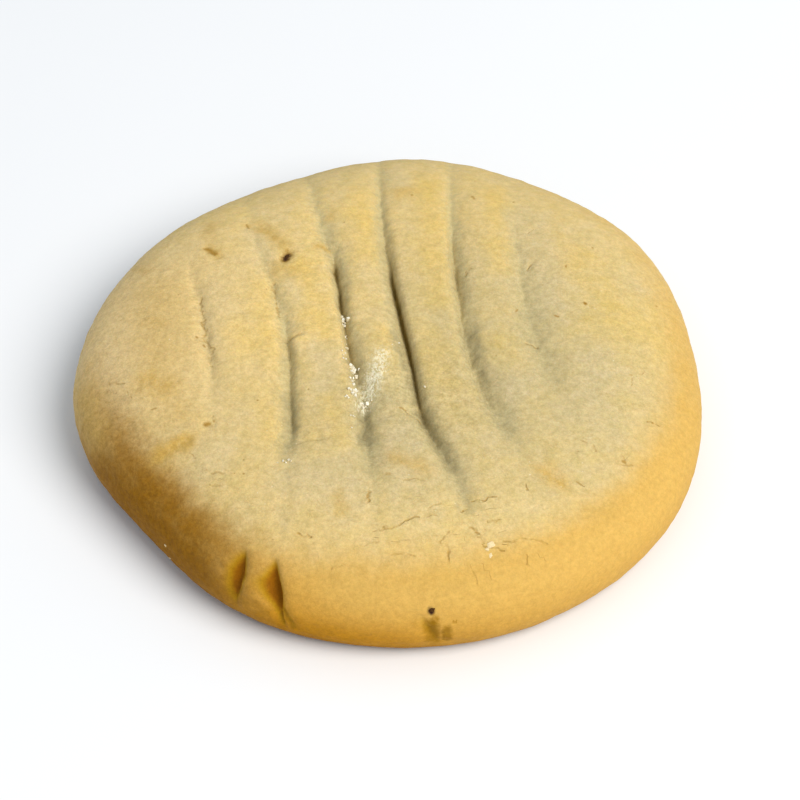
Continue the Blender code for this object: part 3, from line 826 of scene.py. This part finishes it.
class Bench:
    """Places and joins the nodes of a material or group. A value is a number, a colour or a socket."""

    def __init__(self, tree):
        self.tree = tree

    def join(self, socket, value):
        if isinstance(value, bpy.types.NodeSocket):
            self.tree.links.new(value, socket)
        elif value is not None:
            socket.default_value = value

    def add(self, kind, values=(), **settings):
        """Places a node and gives its outputs. Each of the values goes with an input's name or number."""
        node = self.tree.nodes.new("ShaderNode" + kind)
        for name, setting in settings.items():
            setattr(node, name, setting)
        for key, value in values:
            self.join(node.inputs[key], value)
        return node.outputs

    def use(self, make, **values):
        """Places the node group that a function makes. Underscores stand for spaces in its inputs' names."""
        group = bpy.data.node_groups.get(make.__name__) or make()
        sockets = [(name.replace("_", " "), value) for name, value in values.items()]
        return self.add("Group", sockets, node_tree=group)

    def maths(self, operation, *values, clamp=False):
        return self.add("Math", enumerate(values), operation=operation, use_clamp=clamp)[0]

    def vectors(self, operation, *values):
        outputs = self.add("VectorMath", enumerate(values), operation=operation)
        return outputs["Value" if operation == "LENGTH" else "Vector"]

    def scaled(self, vector, factor):
        return self.add("VectorMath", [(0, vector), ("Scale", factor)], operation="SCALE")["Vector"]

    def mix(self, factor, first, second, blend="MIX"):
        """Mixes two colours."""
        sockets = [(0, factor), (6, first), (7, second)]
        return self.add("Mix", sockets, data_type="RGBA", blend_type=blend)[2]

    def tinted(self, shade, tint):
        return self.mix(1.0, shade, tint, blend="MULTIPLY")

    def remap(self, value, low, high, to_low=0.0, to_high=1.0):
        """Turns a value's range from low to high into a smooth step."""
        sockets = [("Value", value), ("From Min", low), ("From Max", high)]
        sockets += [("To Min", to_low), ("To Max", to_high)]
        return self.add("MapRange", sockets, interpolation_type="SMOOTHSTEP")["Result"]

    def clouds(self, vector, scale, detail=2.0, roughness=0.5, distortion=0.0):
        """Noise from 0 to 1, as a number (Fac) and as a colour of three unlike ones."""
        sockets = [("Vector", vector), ("Scale", scale), ("Detail", detail)]
        sockets += [("Roughness", roughness), ("Distortion", distortion)]
        return self.add("TexNoise", sockets)

    def stored(self, name):
        """A number that the mesh keeps for each of its points."""
        return self.add("Attribute", attribute_name=name)["Fac"]

    def marked(self, kind, stray, softness, ragged):
        """The mask of all the specks or cracks of one kind."""
        place = self.add("Attribute", attribute_name=kind)["Vector"]
        return self.use(marking, Place=place, Stray=stray, Softness=softness, Ragged=ragged)["Mask"]

    def bump(self, height, distance, below=None):
        """Adds a layer of fine relief. The height is in shares of the distance, in metres."""
        sockets = [("Height", height), ("Distance", distance), ("Strength", 1.0), ("Normal", below)]
        return self.add("Bump", sockets)["Normal"]


def new_group(name, vectors, numbers, results):
    """An empty node group, with its bench, its inputs and the sockets of its results."""
    tree = bpy.data.node_groups.new(name, "ShaderNodeTree")
    sockets = [(label, "INPUT", "Vector") for label in vectors]
    sockets += [(label, "INPUT", "Float") for label in numbers]
    sockets += [(label, "OUTPUT", "Float") for label in results]
    for label, way, kind in sockets:
        tree.interface.new_socket(label, in_out=way, socket_type="NodeSocket" + kind)
    start, end = tree.nodes.new("NodeGroupInput"), tree.nodes.new("NodeGroupOutput")
    return tree, Bench(tree), start.outputs, end.inputs


def sandy_grain():
    """Fine grains of flour and sugar: their height, and how light or dark they are."""
    tree, bench, given, wanted = new_group("sandy_grain", ["Vector"], ["Grain Size"], ["Height", "Shade"])
    scale = bench.maths("DIVIDE", 1.0, given["Grain Size"])
    fine = bench.clouds(given["Vector"], scale, detail=3.0, roughness=0.65)["Fac"]
    coarse = bench.clouds(given["Vector"], bench.maths("MULTIPLY", scale, 0.35))["Fac"]
    height = bench.maths("MULTIPLY_ADD", coarse, 0.8, fine)
    bench.join(wanted["Height"], bench.maths("SUBTRACT", height, 0.9))
    closer = bench.maths("MULTIPLY", scale, 0.58)
    specks = bench.clouds(given["Vector"], closer, detail=5.0, roughness=0.95)["Fac"]
    bench.join(wanted["Shade"], bench.remap(specks, 0.3, 0.7))
    return tree


def soft_mottle():
    """Soft light and dark patches."""
    tree, bench, given, wanted = new_group("soft_mottle", ["Vector"], ["Patch Size", "Contrast"], ["Mask"])
    scale = bench.maths("DIVIDE", 1.0, given["Patch Size"])
    patches = bench.clouds(given["Vector"], scale, detail=3.0, roughness=0.55, distortion=0.4)["Fac"]
    half = bench.maths("DIVIDE", 0.25, given["Contrast"])
    low, high = bench.maths("SUBTRACT", 0.5, half), bench.maths("ADD", 0.5, half)
    bench.join(wanted["Mask"], bench.remap(patches, low, high))
    return tree


def marking():
    """A speck or crack with a soft, ragged edge, from a point's place in its stroke."""
    tree, bench, given, wanted = new_group("marking", ["Place", "Stray"], ["Softness", "Ragged"], ["Mask"])
    flat = bench.vectors("MULTIPLY", given["Place"], (1.0, 1.0, 0.0))
    astray = bench.vectors("ADD", flat, bench.scaled(given["Stray"], given["Ragged"]))
    away = bench.vectors("LENGTH", astray)
    mask = bench.remap(away, 1.0, bench.maths("SUBTRACT", 1.0, given["Softness"]))
    strength = bench.add("SeparateXYZ", [("Vector", given["Place"])])["Z"]
    bench.join(wanted["Mask"], bench.maths("MULTIPLY", mask, strength))
    return tree


def pinholes():
    """Scattered pinholes: only some cells of a pattern have one."""
    tree, bench, given, wanted = new_group("pinholes", ["Vector"], ["Spacing", "Radius", "Share"], ["Mask"])
    scale = bench.maths("DIVIDE", 1.0, given["Spacing"])
    cells = bench.add("TexVoronoi", [("Vector", given["Vector"]), ("Scale", scale)])
    radius = bench.maths("MULTIPLY", given["Radius"], scale)
    hole = bench.remap(cells["Distance"], radius, bench.maths("MULTIPLY", radius, 0.3))
    luck = bench.add("SeparateColor", [("Color", cells["Color"])])["Red"]
    chosen = bench.maths("LESS_THAN", luck, given["Share"])
    bench.join(wanted["Mask"], bench.maths("MULTIPLY", hole, chosen))
    return tree


def wrinkles():
    """Faint short wavy wrinkles, where a drying skin has drawn together."""
    tree, bench, given, wanted = new_group("wrinkles", ["Vector"], ["Size", "Width"], ["Mask"])
    scale = bench.maths("DIVIDE", 1.0, given["Size"])
    waves = bench.clouds(given["Vector"], scale, detail=3.0, roughness=0.55, distortion=0.6)["Fac"]
    off = bench.maths("ABSOLUTE", bench.maths("SUBTRACT", waves, 0.5))
    line = bench.remap(off, bench.maths("MULTIPLY", given["Width"], scale), 0.0)
    broken = bench.clouds(given["Vector"], bench.maths("MULTIPLY", scale, 0.9), detail=1.0)["Color"]
    luck = bench.add("SeparateColor", [("Color", broken)])["Green"]
    bench.join(wanted["Mask"], bench.maths("MULTIPLY", line, bench.remap(luck, 0.50, 0.62)))
    return tree


# ---- Materials ----

# What darkens, lightens or warms the colour below, as factors of red, green and blue
WARM_FLUSH = (0.965, 0.955, 0.93, 1)
COOL_FLUSH = (1.035, 1.02, 1.07, 1)
PAINTED_SHADE_TINT = (0.86, 0.905, 1.0, 1)  # painted shade: the top darker and cooler where less light is meant to reach it
PAINTED_LIGHT_TINT = (1.08, 1.075, 1.08, 1)  # painted light: the left of the top lighter, as if more light reached it
# painted light: the left edge of the top lighter and bluer
PAINTED_EDGE_LIGHT_TINT = (1.08, 1.09, 1.16, 1)
DARK_GRAIN_TINT = (0.64, 0.61, 0.54, 1)
LIGHT_GRAIN_TINT = (1.21, 1.21, 1.25, 1)

CLOUDY_SUGAR = (0.62, 0.52, 0.30, 1)
SHADED_CHIP = (0.66, 0.50, 0.26, 1)
ASHY_GRAIN = (0.10, 0.045, 0.012, 1)


def new_material(name, **finish):
    """A material with its bench, its shader's inputs, set to the finish, and its places in millimetres."""
    material = bpy.data.materials.new(name)
    material.use_nodes = True
    bench = Bench(material.node_tree)
    inputs = material.node_tree.nodes["Principled BSDF"].inputs
    for socket, value in finish.items():
        inputs[socket.replace("_", " ")].default_value = value
    return material, bench, inputs, bench.scaled(bench.add("TexCoord")["Object"], 1 / MM)


def ragged_stray(bench, space, scale, detail):
    """A noise that makes edges ragged, about -1 to 1 each way."""
    wobble = bench.clouds(space, scale, detail=detail, roughness=0.65)["Color"]
    return bench.scaled(bench.vectors("SUBTRACT", wobble, (0.5, 0.5, 0.5)), 4.0)


def top_colour(bench, space, settings):
    """The top: yellow on the ridges, partly where the fork smoothed them and partly painted light on the
    banks that face the key light; pale where it stayed floury; mottled all over; darkened by painted shade
    over one wide patch and lightened by painted light over another.
    """
    wide = bench.use(soft_mottle, Vector=space, Patch_Size=6.0, Contrast=1.0)["Mask"]
    small = bench.use(soft_mottle, Vector=space, Patch_Size=1.6, Contrast=0.7)["Mask"]
    patches = bench.maths("MULTIPLY_ADD", small, 0.35, bench.maths("MULTIPLY", wide, 0.35))
    # yellow streaks, partly painted light on the banks facing the key light; pale floury patches
    yellow = bench.maths("MULTIPLY_ADD", bench.stored("tone"), 0.55, patches, clamp=True)
    shade = bench.mix(yellow, settings.pale, settings.yellow)
    flush = bench.clouds(bench.vectors("ADD", space, (40.0, 0.0, 0.0)), 0.7)["Fac"]
    shade = bench.tinted(shade, bench.mix(bench.remap(flush, 0.32, 0.68), WARM_FLUSH, COOL_FLUSH))
    # painted shade over a wide patch of the top
    painted_shade = bench.mix(bench.stored("pressed"), shade, bench.tinted(shade, PAINTED_SHADE_TINT))
    # painted light over a patch on the left of the top
    return bench.mix(bench.stored("painted_light"), painted_shade, bench.tinted(shade, PAINTED_LIGHT_TINT))


def furrow_colour(bench, space, settings, shade):
    """Greyish banks and greyer hollows, partly duller dough and partly painted shade, and a dark line of
    painted shade in the narrow clefts.
    """
    uneven = bench.clouds(space, 1.1, detail=4.0, roughness=0.7)["Fac"]
    shift = bench.maths("SUBTRACT", uneven, 0.5)
    depth = bench.maths("MULTIPLY_ADD", shift, 0.42, bench.stored("furrow"))
    # grey banks, partly duller dough and partly painted shade
    shade = bench.mix(bench.remap(depth, 0.02, 0.34, 0.0, 0.88), shade, settings.furrow)
    hollow = bench.maths("ADD", shift, bench.stored("hollow"))
    # greyer hollows, partly duller dough and partly painted shade
    shade = bench.mix(bench.remap(hollow, 0.05, 1.10), shade, settings.furrow_shade)
    # painted shade: a dark line in the clefts
    return bench.mix(bench.remap(bench.stored("cleft"), 0.07, 0.34, 0.0, 0.95), shade, settings.furrow_bed)


def baked_colour(bench, space, settings, shade):
    """Tan on the left of the top, painted light along its left edge, golden over the rim, then brown, partly
    painted shade on the front left, and browner still in the pinched folds, whose dark middles are partly
    painted shade.
    """
    patches = bench.use(soft_mottle, Vector=space, Patch_Size=3.0, Contrast=0.7)["Mask"]
    shift = bench.maths("MULTIPLY", bench.maths("SUBTRACT", patches, 0.5), 0.16)
    shade = bench.mix(bench.maths("MULTIPLY", bench.stored("tan"), 0.75), shade, settings.tan)
    # painted light: the left edge of the top made lighter and bluer
    shade = bench.mix(bench.stored("painted_edge_light"), shade, bench.tinted(shade, PAINTED_EDGE_LIGHT_TINT))
    golden = bench.remap(bench.maths("ADD", bench.stored("golden"), shift), 0.02, 0.85)
    shade = bench.mix(golden, shade, bench.mix(bench.stored("amber"), settings.golden, settings.amber))
    uneven = bench.clouds(space, 1.4, detail=4.0, roughness=0.65)["Fac"]
    shift = bench.maths("MULTIPLY_ADD", bench.maths("SUBTRACT", uneven, 0.5), 0.20, shift)
    # brown crust, which on the front left of the rim is partly painted shade of the side turned from the key
    # light
    brown = bench.remap(bench.maths("ADD", bench.stored("brown"), shift), 0.04, 0.90)
    shade = bench.mix(brown, shade, settings.brown)
    pinch = bench.stored("pinch")
    shade = bench.mix(bench.remap(pinch, 0.05, 0.28, 0.0, 0.9), shade, settings.fold_edge)
    # the folds' dark middles, partly browning and partly painted shade
    return bench.mix(bench.remap(pinch, 0.18, 0.45, 0.0, 0.95), shade, settings.fold)


def stained(bench, space, settings, grain, stray, shade):
    """The golden stains, the streaky smear of fine sugar and the toasted specks."""
    dappled = bench.remap(grain["Height"], -0.35, 0.15, 0.6, 1.0)
    shade = bench.mix(bench.maths("MULTIPLY", bench.stored("stain"), dappled), shade, settings.stain)
    stretched = bench.vectors("MULTIPLY", space, (2.6, 1.5, 2.0))
    streaks = bench.clouds(stretched, 1.5, detail=4.0, roughness=0.8)["Fac"]
    frost = bench.maths("MULTIPLY", bench.stored("frost"), bench.remap(streaks, 0.42, 0.56))
    shade = bench.mix(frost, shade, settings.frost)
    return bench.mix(bench.marked("speck", stray, 0.9, 0.35), shade, settings.brown_speck)


def opened_skin(bench, space):
    """Where the skin has opened: hairline cracks, and fainter the wrinkles and pinholes."""
    wander = bench.vectors("MULTIPLY", ragged_stray(bench, space, scale=0.55, detail=2.0), (0.1, 1.0, 0.0))
    cracks = bench.marked("crack", wander, softness=0.95, ragged=2.0)
    thinned = bench.clouds(space, 1.3)["Fac"]
    cracks = bench.maths("MULTIPLY", cracks, bench.remap(thinned, 0.36, 0.58, 0.35, 1.0))
    stretched = bench.vectors("MULTIPLY", space, (0.55, 1.4, 1.0))
    fine = bench.use(wrinkles, Vector=stretched, Size=1.5, Width=0.045)["Mask"]
    unbaked = bench.maths("MULTIPLY_ADD", bench.stored("golden"), -0.7, 1.0, clamp=True)
    fine = bench.maths("MULTIPLY", fine, bench.maths("MULTIPLY", bench.stored("dried"), unbaked))
    holes = bench.use(pinholes, Vector=space, Spacing=1.7, Radius=0.16, Share=0.10)["Mask"]
    opened = bench.maths("MAXIMUM", cracks, bench.maths("MULTIPLY", fine, 0.17))
    return bench.maths("MAXIMUM", opened, bench.maths("MULTIPLY", holes, 0.5))


def grained(bench, space, settings, grain, shade):
    """Light and dark grains, and grains of flour on the driest dough."""
    dark, light = bench.tinted(shade, DARK_GRAIN_TINT), bench.tinted(shade, LIGHT_GRAIN_TINT)
    shade = bench.mix(bench.stored("grit"), shade, bench.mix(grain["Shade"], dark, light))
    flour = bench.use(pinholes, Vector=space, Spacing=0.8, Radius=0.12, Share=0.16)["Mask"]
    flour = bench.maths("MULTIPLY", flour, bench.maths("MULTIPLY", bench.stored("floury"), 0.4))
    return bench.mix(flour, shade, settings.frost)


def dough_material(settings):
    material, bench, inputs, space = new_material(
        "baked_dough", Specular_IOR_Level=0.08, Subsurface_Weight=0.12, Subsurface_Radius=(1.0, 0.5, 0.2),
        Subsurface_Scale=1.5 * MM,
    )
    stray = ragged_stray(bench, space, scale=1.0, detail=4.0)
    grain = bench.use(sandy_grain, Vector=space, Grain_Size=0.35)
    opened = opened_skin(bench, space)
    shade = top_colour(bench, space, settings)
    shade = furrow_colour(bench, space, settings, shade)
    shade = baked_colour(bench, space, settings, shade)
    shade = stained(bench, space, settings, grain, stray, shade)
    shade = bench.mix(bench.maths("MULTIPLY", opened, 0.80), shade, settings.crack)
    shade = grained(bench, space, settings, grain, shade)
    shade = bench.mix(bench.marked("dark_speck", stray, 0.85, 0.25), shade, settings.speck)
    bench.join(inputs["Base Color"], shade)
    bench.join(inputs["Roughness"], bench.remap(grain["Height"], -0.3, 0.3, 0.78, 0.62))
    roughened = bench.maths("MULTIPLY_ADD", bench.stored("furrow"), 1.2, 1.0)
    normal = bench.bump(bench.maths("MULTIPLY", grain["Height"], roughened), settings.grain_height)
    normal = bench.bump(bench.maths("SUBTRACT", 1.0, opened), settings.crack_depth, normal)
    bench.join(inputs["Normal"], normal)
    return material


def sugar_material(settings):
    """Clear to milky crystals."""
    material, bench, inputs, space = new_material("sugar", Roughness=0.16, IOR=1.54)
    cloudy = bench.use(soft_mottle, Vector=space, Patch_Size=0.4, Contrast=1.0)["Mask"]
    bench.join(inputs["Base Color"], bench.mix(cloudy, settings.tint, CLOUDY_SUGAR))
    grain = bench.use(sandy_grain, Vector=space, Grain_Size=0.08)
    bench.join(inputs["Normal"], bench.bump(grain["Height"], 0.01 * MM))
    return material


def crumb_material(name, dark, light, **finish):
    """Broken dough, pale or burnt, with light and dark grains."""
    material, bench, inputs, space = new_material(name, **finish)
    grain = bench.use(sandy_grain, Vector=space, Grain_Size=0.2)
    bench.join(inputs["Base Color"], bench.mix(grain["Shade"], dark, light))
    bench.join(inputs["Normal"], bench.bump(grain["Height"], 0.05 * MM))
    return material


# ---- The small pieces ----

FAR = 0.1  # from here a line is drawn to the dough, in metres


class Handful(NamedTuple):
    """A cluster of like grains round one place on the top, in millimetres."""

    centre: tuple
    spread: tuple
    count_share: float
    size_share: float


SUGAR_HANDFULS = (
    Handful((-4.75, 2.8), (0.16, 0.50), 0.8, 1.0),
    Handful((-4.5, 0.7), (0.10, 0.30), 0.3, 0.6),
    Handful((-4.4, -1.4), (0.12, 0.40), 0.3, 0.6),
    Handful((-4.6, -3.4), (0.20, 0.60), 0.6, 0.45),
    Handful((-3.5, -4.6), (0.25, 0.45), 1.3, 0.95),
    Handful((-3.7, -6.9), (0.14, 0.40), 0.6, 0.6),
    Handful((-3.6, -8.5), (0.16, 0.45), 1.1, 0.85),
    Handful((-4.0, -9.7), (0.15, 0.12), 0.3, 0.6),
    Handful((-2.2, -9.7), (0.38, 0.22), 1.1, 0.9),
    Handful((-3.6, -12.0), (0.12, 0.90), 0.35, 0.5),
    Handful((-1.5, -6.2), (0.55, 1.7), 4.0, 0.26),
    Handful((-10.4, -18.2), (0.30, 0.12), 0.6, 0.55),
    Handful((-11.5, -18.4), (0.12, 0.05), 0.2, 0.45),
    Handful((1.4, -0.8), (0.04, 0.04), 0.12, 0.8),
    Handful((0.6, -1.5), (0.05, 0.05), 0.12, 0.5),
    Handful((4.2, -8.1), (0.05, 0.08), 0.12, 0.6),
)


class SmallPiece(NamedTuple):
    """One chip or grain: the way to it from above or from the front, its size and how flat it is."""

    over: tuple  # (x, y) where it lies on the top, or (x, height) where it sits on the front
    on_side: bool
    size_share: float
    flatness: float
    turn: float


CHIPS = (
    SmallPiece((11.0, -28.5), False, 1.0, 0.22, 0.3),
    SmallPiece((10.6, -28.9), False, 0.6, 0.25, 1.9),
    SmallPiece((10.9, -29.5), False, 0.6, 0.25, 1.3),
    SmallPiece((-23.6, 4.9), True, 0.5, 0.4, 0.9),
    SmallPiece((-23.2, 3.0), True, 0.35, 0.5, 0.2),
)
DARK_GRAINS = (
    SmallPiece((-11.3, 12.9), False, 0.75, 0.25, 0.4),
    SmallPiece((4.8, 7.8), True, 0.80, 0.4, 0.0),
)


def the_dough():
    dough = bpy.data.objects.get("dough")
    if dough is None:
        raise RuntimeError("bake the dough first: the small pieces lie on it")
    return dough


def spot_on_dough(dough, across, along, on_side=False):
    """Where a line from above, or from the front, first meets the dough, and how the surface faces there."""
    start = Vector((across, -FAR, along) if on_side else (across, along, FAR))
    way = Vector((0, 1, 0) if on_side else (0, 0, -1))
    hit, place, normal, _ = dough.ray_cast(start, way)
    if not hit:
        raise RuntimeError(f"nothing of the dough lies along the line from {tuple(start)}")
    return place, normal


def add_crystal(built, place, size, turn):
    """One boxy crystal, turned any way."""
    matrix = Matrix.Translation(place) @ turn.to_matrix().to_4x4() @ Matrix.Diagonal((*size, 1))
    bmesh.ops.create_cube(built, size=1.0, matrix=matrix)


def finished_mesh(built, name):
    mesh = bpy.data.meshes.new(name)
    built.to_mesh(mesh)
    built.free()
    return mesh


def sugar_mesh(dough, settings):
    luck = random.Random(11)
    built = bmesh.new()
    for handful in SUGAR_HANDFULS:
        for _ in range(max(1, round(settings.count * handful.count_share))):
            x = luck.gauss(handful.centre[0], handful.spread[0]) * MM
            y = luck.gauss(handful.centre[1], handful.spread[1]) * MM
            place, normal = spot_on_dough(dough, x, y)
            long = settings.size * handful.size_share * luck.uniform(0.45, 1.0)
            size = (long, long * luck.uniform(0.55, 0.9), long * luck.uniform(0.45, 0.8))
            turn = Euler([luck.uniform(0, math.tau) for _ in range(3)])
            add_crystal(built, place + normal * long * luck.uniform(0.0, 0.25), size, turn)
    bmesh.ops.bevel(built, geom=built.edges[:], offset=settings.size * 0.06, segments=1, affect="EDGES")
    return finished_mesh(built, "sugar_crystals")


def add_lump(built, dough, piece, size, part):
    """One irregular lump, flattened against the dough."""
    across, along = piece.over
    place, normal = spot_on_dough(dough, across * MM, along * MM, piece.on_side)
    facing = normal.to_track_quat("Z", "Y").to_matrix().to_4x4()
    spun = facing @ Matrix.Rotation(piece.turn, 4, "Z")
    shape = Matrix.Diagonal((size / 2, size * 0.36, size * piece.flatness / 2, 1))
    for point in bmesh.ops.create_icosphere(built, subdivisions=3, radius=1.0)["verts"]:
        swell = 1 + 0.45 * noise.noise(point.co * 1.3 + Vector((part * 5.1, 0, 0)))
        swell += 0.18 * noise.noise(point.co * 3.7 + Vector((0, part * 3.3, 0)))
        point.co = place + spun.to_3x3() @ (shape.to_3x3() @ (point.co * swell))


def lumps_mesh(dough, pieces, size, name):
    built = bmesh.new()
    for part, piece in enumerate(pieces):
        add_lump(built, dough, piece, size * piece.size_share, part)
    mesh = finished_mesh(built, name)
    mesh.shade_smooth()
    return mesh


def add_piece(mesh, material):
    """Shows a mesh as a piece that goes with the cookie."""
    mesh.materials.append(material)
    piece = bpy.data.objects.new(mesh.name, mesh)
    bpy.context.scene.collection.objects.link(piece)
    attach(piece, "root")
    return piece


# ---- The studio ----

VEIL_SHADE = 0.985  # how much darker than the rest the faint veils on the floor are
SEEN_SKY = (0.93, 0.93, 0.93, 1)
KEY_DISTANCE = 0.8  # in metres
KEY_TINT = (1.0, 0.97, 0.92)
CAMERA_PLACE = (1.49 * MM, -227.35 * MM, 246.68 * MM)
CAMERA_LENS = 132.98  # in millimetres, for a sensor this wide
CAMERA_SENSOR = 36.0
CAMERA_TILT = math.radians(43)  # from straight down, so that it looks from 47 degrees above the horizon


def floor_material(settings):
    material, bench, inputs, space = new_material("floor", Roughness=0.9, Specular_IOR_Level=0.1)
    veil = bench.use(soft_mottle, Vector=space, Patch_Size=60.0, Contrast=0.5)["Mask"]
    veiled = (*(VEIL_SHADE * part for part in settings.floor[:3]), 1)
    bench.join(inputs["Base Color"], bench.mix(veil, settings.floor, veiled))
    return material


def add_floor(settings):
    bpy.ops.mesh.primitive_grid_add(x_subdivisions=8, y_subdivisions=8, size=settings.floor_width)
    floor = bpy.context.object
    floor.name = "floor"
    floor.location.z = CAD_BOX[0].z
    floor.data.materials.append(floor_material(settings))


def add_key_light(settings):
    """The large soft light."""
    light = bpy.data.lights.new("key", "AREA")
    light.shape = "DISK"
    light.size = settings.key_width
    light.energy = settings.key_power
    light.color = KEY_TINT
    lamp = bpy.data.objects.new("key", light)
    way, height = settings.key_way, settings.key_height
    level = math.cos(height)
    to_light = Vector((math.cos(way) * level, math.sin(way) * level, math.sin(height)))
    lamp.location = to_light * KEY_DISTANCE
    lamp.rotation_euler = to_light.to_track_quat("Z", "Y").to_euler()
    bpy.context.scene.collection.objects.link(lamp)


def add_sky(settings):
    """An even light from all round. The camera sees a paler sky than the one that lights the cookie."""
    world = bpy.data.worlds.new("sky")
    world.use_nodes = True
    bench = Bench(world.node_tree)
    light = world.node_tree.nodes["Background"]
    bench.join(light.inputs["Color"], settings.sky)
    bench.join(light.inputs["Strength"], settings.sky_strength)
    seen = bench.add("Background", [("Color", SEEN_SKY), ("Strength", 1.0)])[0]
    to_camera = bench.add("LightPath")["Is Camera Ray"]
    either = bench.add("MixShader", [(0, to_camera), (1, light.outputs[0]), (2, seen)])[0]
    bench.join(world.node_tree.nodes["World Output"].inputs["Surface"], either)
    bpy.context.scene.world = world


def add_camera():
    """A long lens, 47 degrees above the horizon, in front of the cookie."""
    camera = bpy.data.objects.new("camera", bpy.data.cameras.new("camera"))
    camera.data.lens = CAMERA_LENS
    camera.data.sensor_width = CAMERA_SENSOR
    camera.data.clip_start = 0.01
    camera.data.clip_end = 50.0
    camera.location = CAMERA_PLACE
    camera.rotation_euler = (CAMERA_TILT, 0, 0)
    bpy.context.scene.collection.objects.link(camera)
    bpy.context.scene.camera = camera


# ---- Operators, panel and registration ----


class COOKIE_OT_bake_dough(bpy.types.Operator):
    """Make the baked dough with its furrows, folds, cracks and browned rim"""

    bl_idname = "cookie.bake_dough"
    bl_label = "Bake Dough"

    def execute(self, context):
        settings = context.scene.cookie_dough
        dough = add_piece(dough_mesh(settings), dough_material(settings))
        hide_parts("cookie")
        context.view_layer.update()
        return {"FINISHED"}


class COOKIE_OT_sprinkle_sugar(bpy.types.Operator):
    """Put the coarse sugar crystals in and beside the furrows"""

    bl_idname = "cookie.sprinkle_sugar"
    bl_label = "Sprinkle Sugar"

    def execute(self, context):
        settings = context.scene.cookie_sugar
        add_piece(sugar_mesh(the_dough(), settings), sugar_material(settings))
        return {"FINISHED"}


class COOKIE_OT_add_chips(bpy.types.Operator):
    """Put the pale chips on the rim and the dark grains into the dough"""

    bl_idname = "cookie.add_chips"
    bl_label = "Add Chips and Grains"

    def execute(self, context):
        settings = context.scene.cookie_chips
        chips = lumps_mesh(the_dough(), CHIPS, settings.chip_size, "dough_chips")
        add_piece(chips, crumb_material("chip", SHADED_CHIP, settings.pale, Roughness=0.8))
        grains = lumps_mesh(the_dough(), DARK_GRAINS, settings.grain_size, "dark_grains")
        finish = {"Roughness": 0.85, "Specular_IOR_Level": 0.05}
        add_piece(grains, crumb_material("burnt_grain", settings.dark, ASHY_GRAIN, **finish))
        return {"FINISHED"}


class COOKIE_OT_set_studio(bpy.types.Operator):
    """Put the floor, the lights and the camera round the cookie"""

    bl_idname = "cookie.set_studio"
    bl_label = "Set Studio"

    def execute(self, context):
        settings = context.scene.cookie_studio
        add_floor(settings)
        add_key_light(settings)
        add_sky(settings)
        add_camera()
        context.scene.view_settings.view_transform = "Standard"
        return {"FINISHED"}


# What the panel shows: a title, where the settings are kept, their class and the operator
SECTIONS = (
    ("Dough", "cookie_dough", DoughSettings, COOKIE_OT_bake_dough),
    ("Sugar", "cookie_sugar", SugarSettings, COOKIE_OT_sprinkle_sugar),
    ("Chips and grains", "cookie_chips", ChipSettings, COOKIE_OT_add_chips),
    ("Studio", "cookie_studio", StudioSettings, COOKIE_OT_set_studio),
)


class COOKIE_PT_panel(bpy.types.Panel):
    """Everything that the cookie is made of"""

    bl_idname = "COOKIE_PT_panel"
    bl_label = "Fork-Pressed Cookie"
    bl_space_type = "VIEW_3D"
    bl_region_type = "UI"
    bl_category = "Cookie"

    def draw(self, context):
        for title, place, group, operator in SECTIONS:
            box = self.layout.box()
            box.label(text=title)
            for name in group.__annotations__:
                box.prop(getattr(context.scene, place), name)
            box.operator(operator.bl_idname)


CLASSES = (*(item for section in SECTIONS for item in section[2:]), COOKIE_PT_panel)


def register():
    for item in CLASSES:
        bpy.utils.register_class(item)
    for _, place, group, _ in SECTIONS:
        setattr(bpy.types.Scene, place, PointerProperty(type=group))


def unregister():
    for _, place, _, _ in SECTIONS:
        delattr(bpy.types.Scene, place)
    for item in reversed(CLASSES):
        bpy.utils.unregister_class(item)


def main():
    register()
    bpy.ops.cookie.bake_dough()
    bpy.ops.cookie.sprinkle_sugar()
    bpy.ops.cookie.add_chips()
    bpy.ops.cookie.set_studio()


if __name__ == "__main__":
    main()
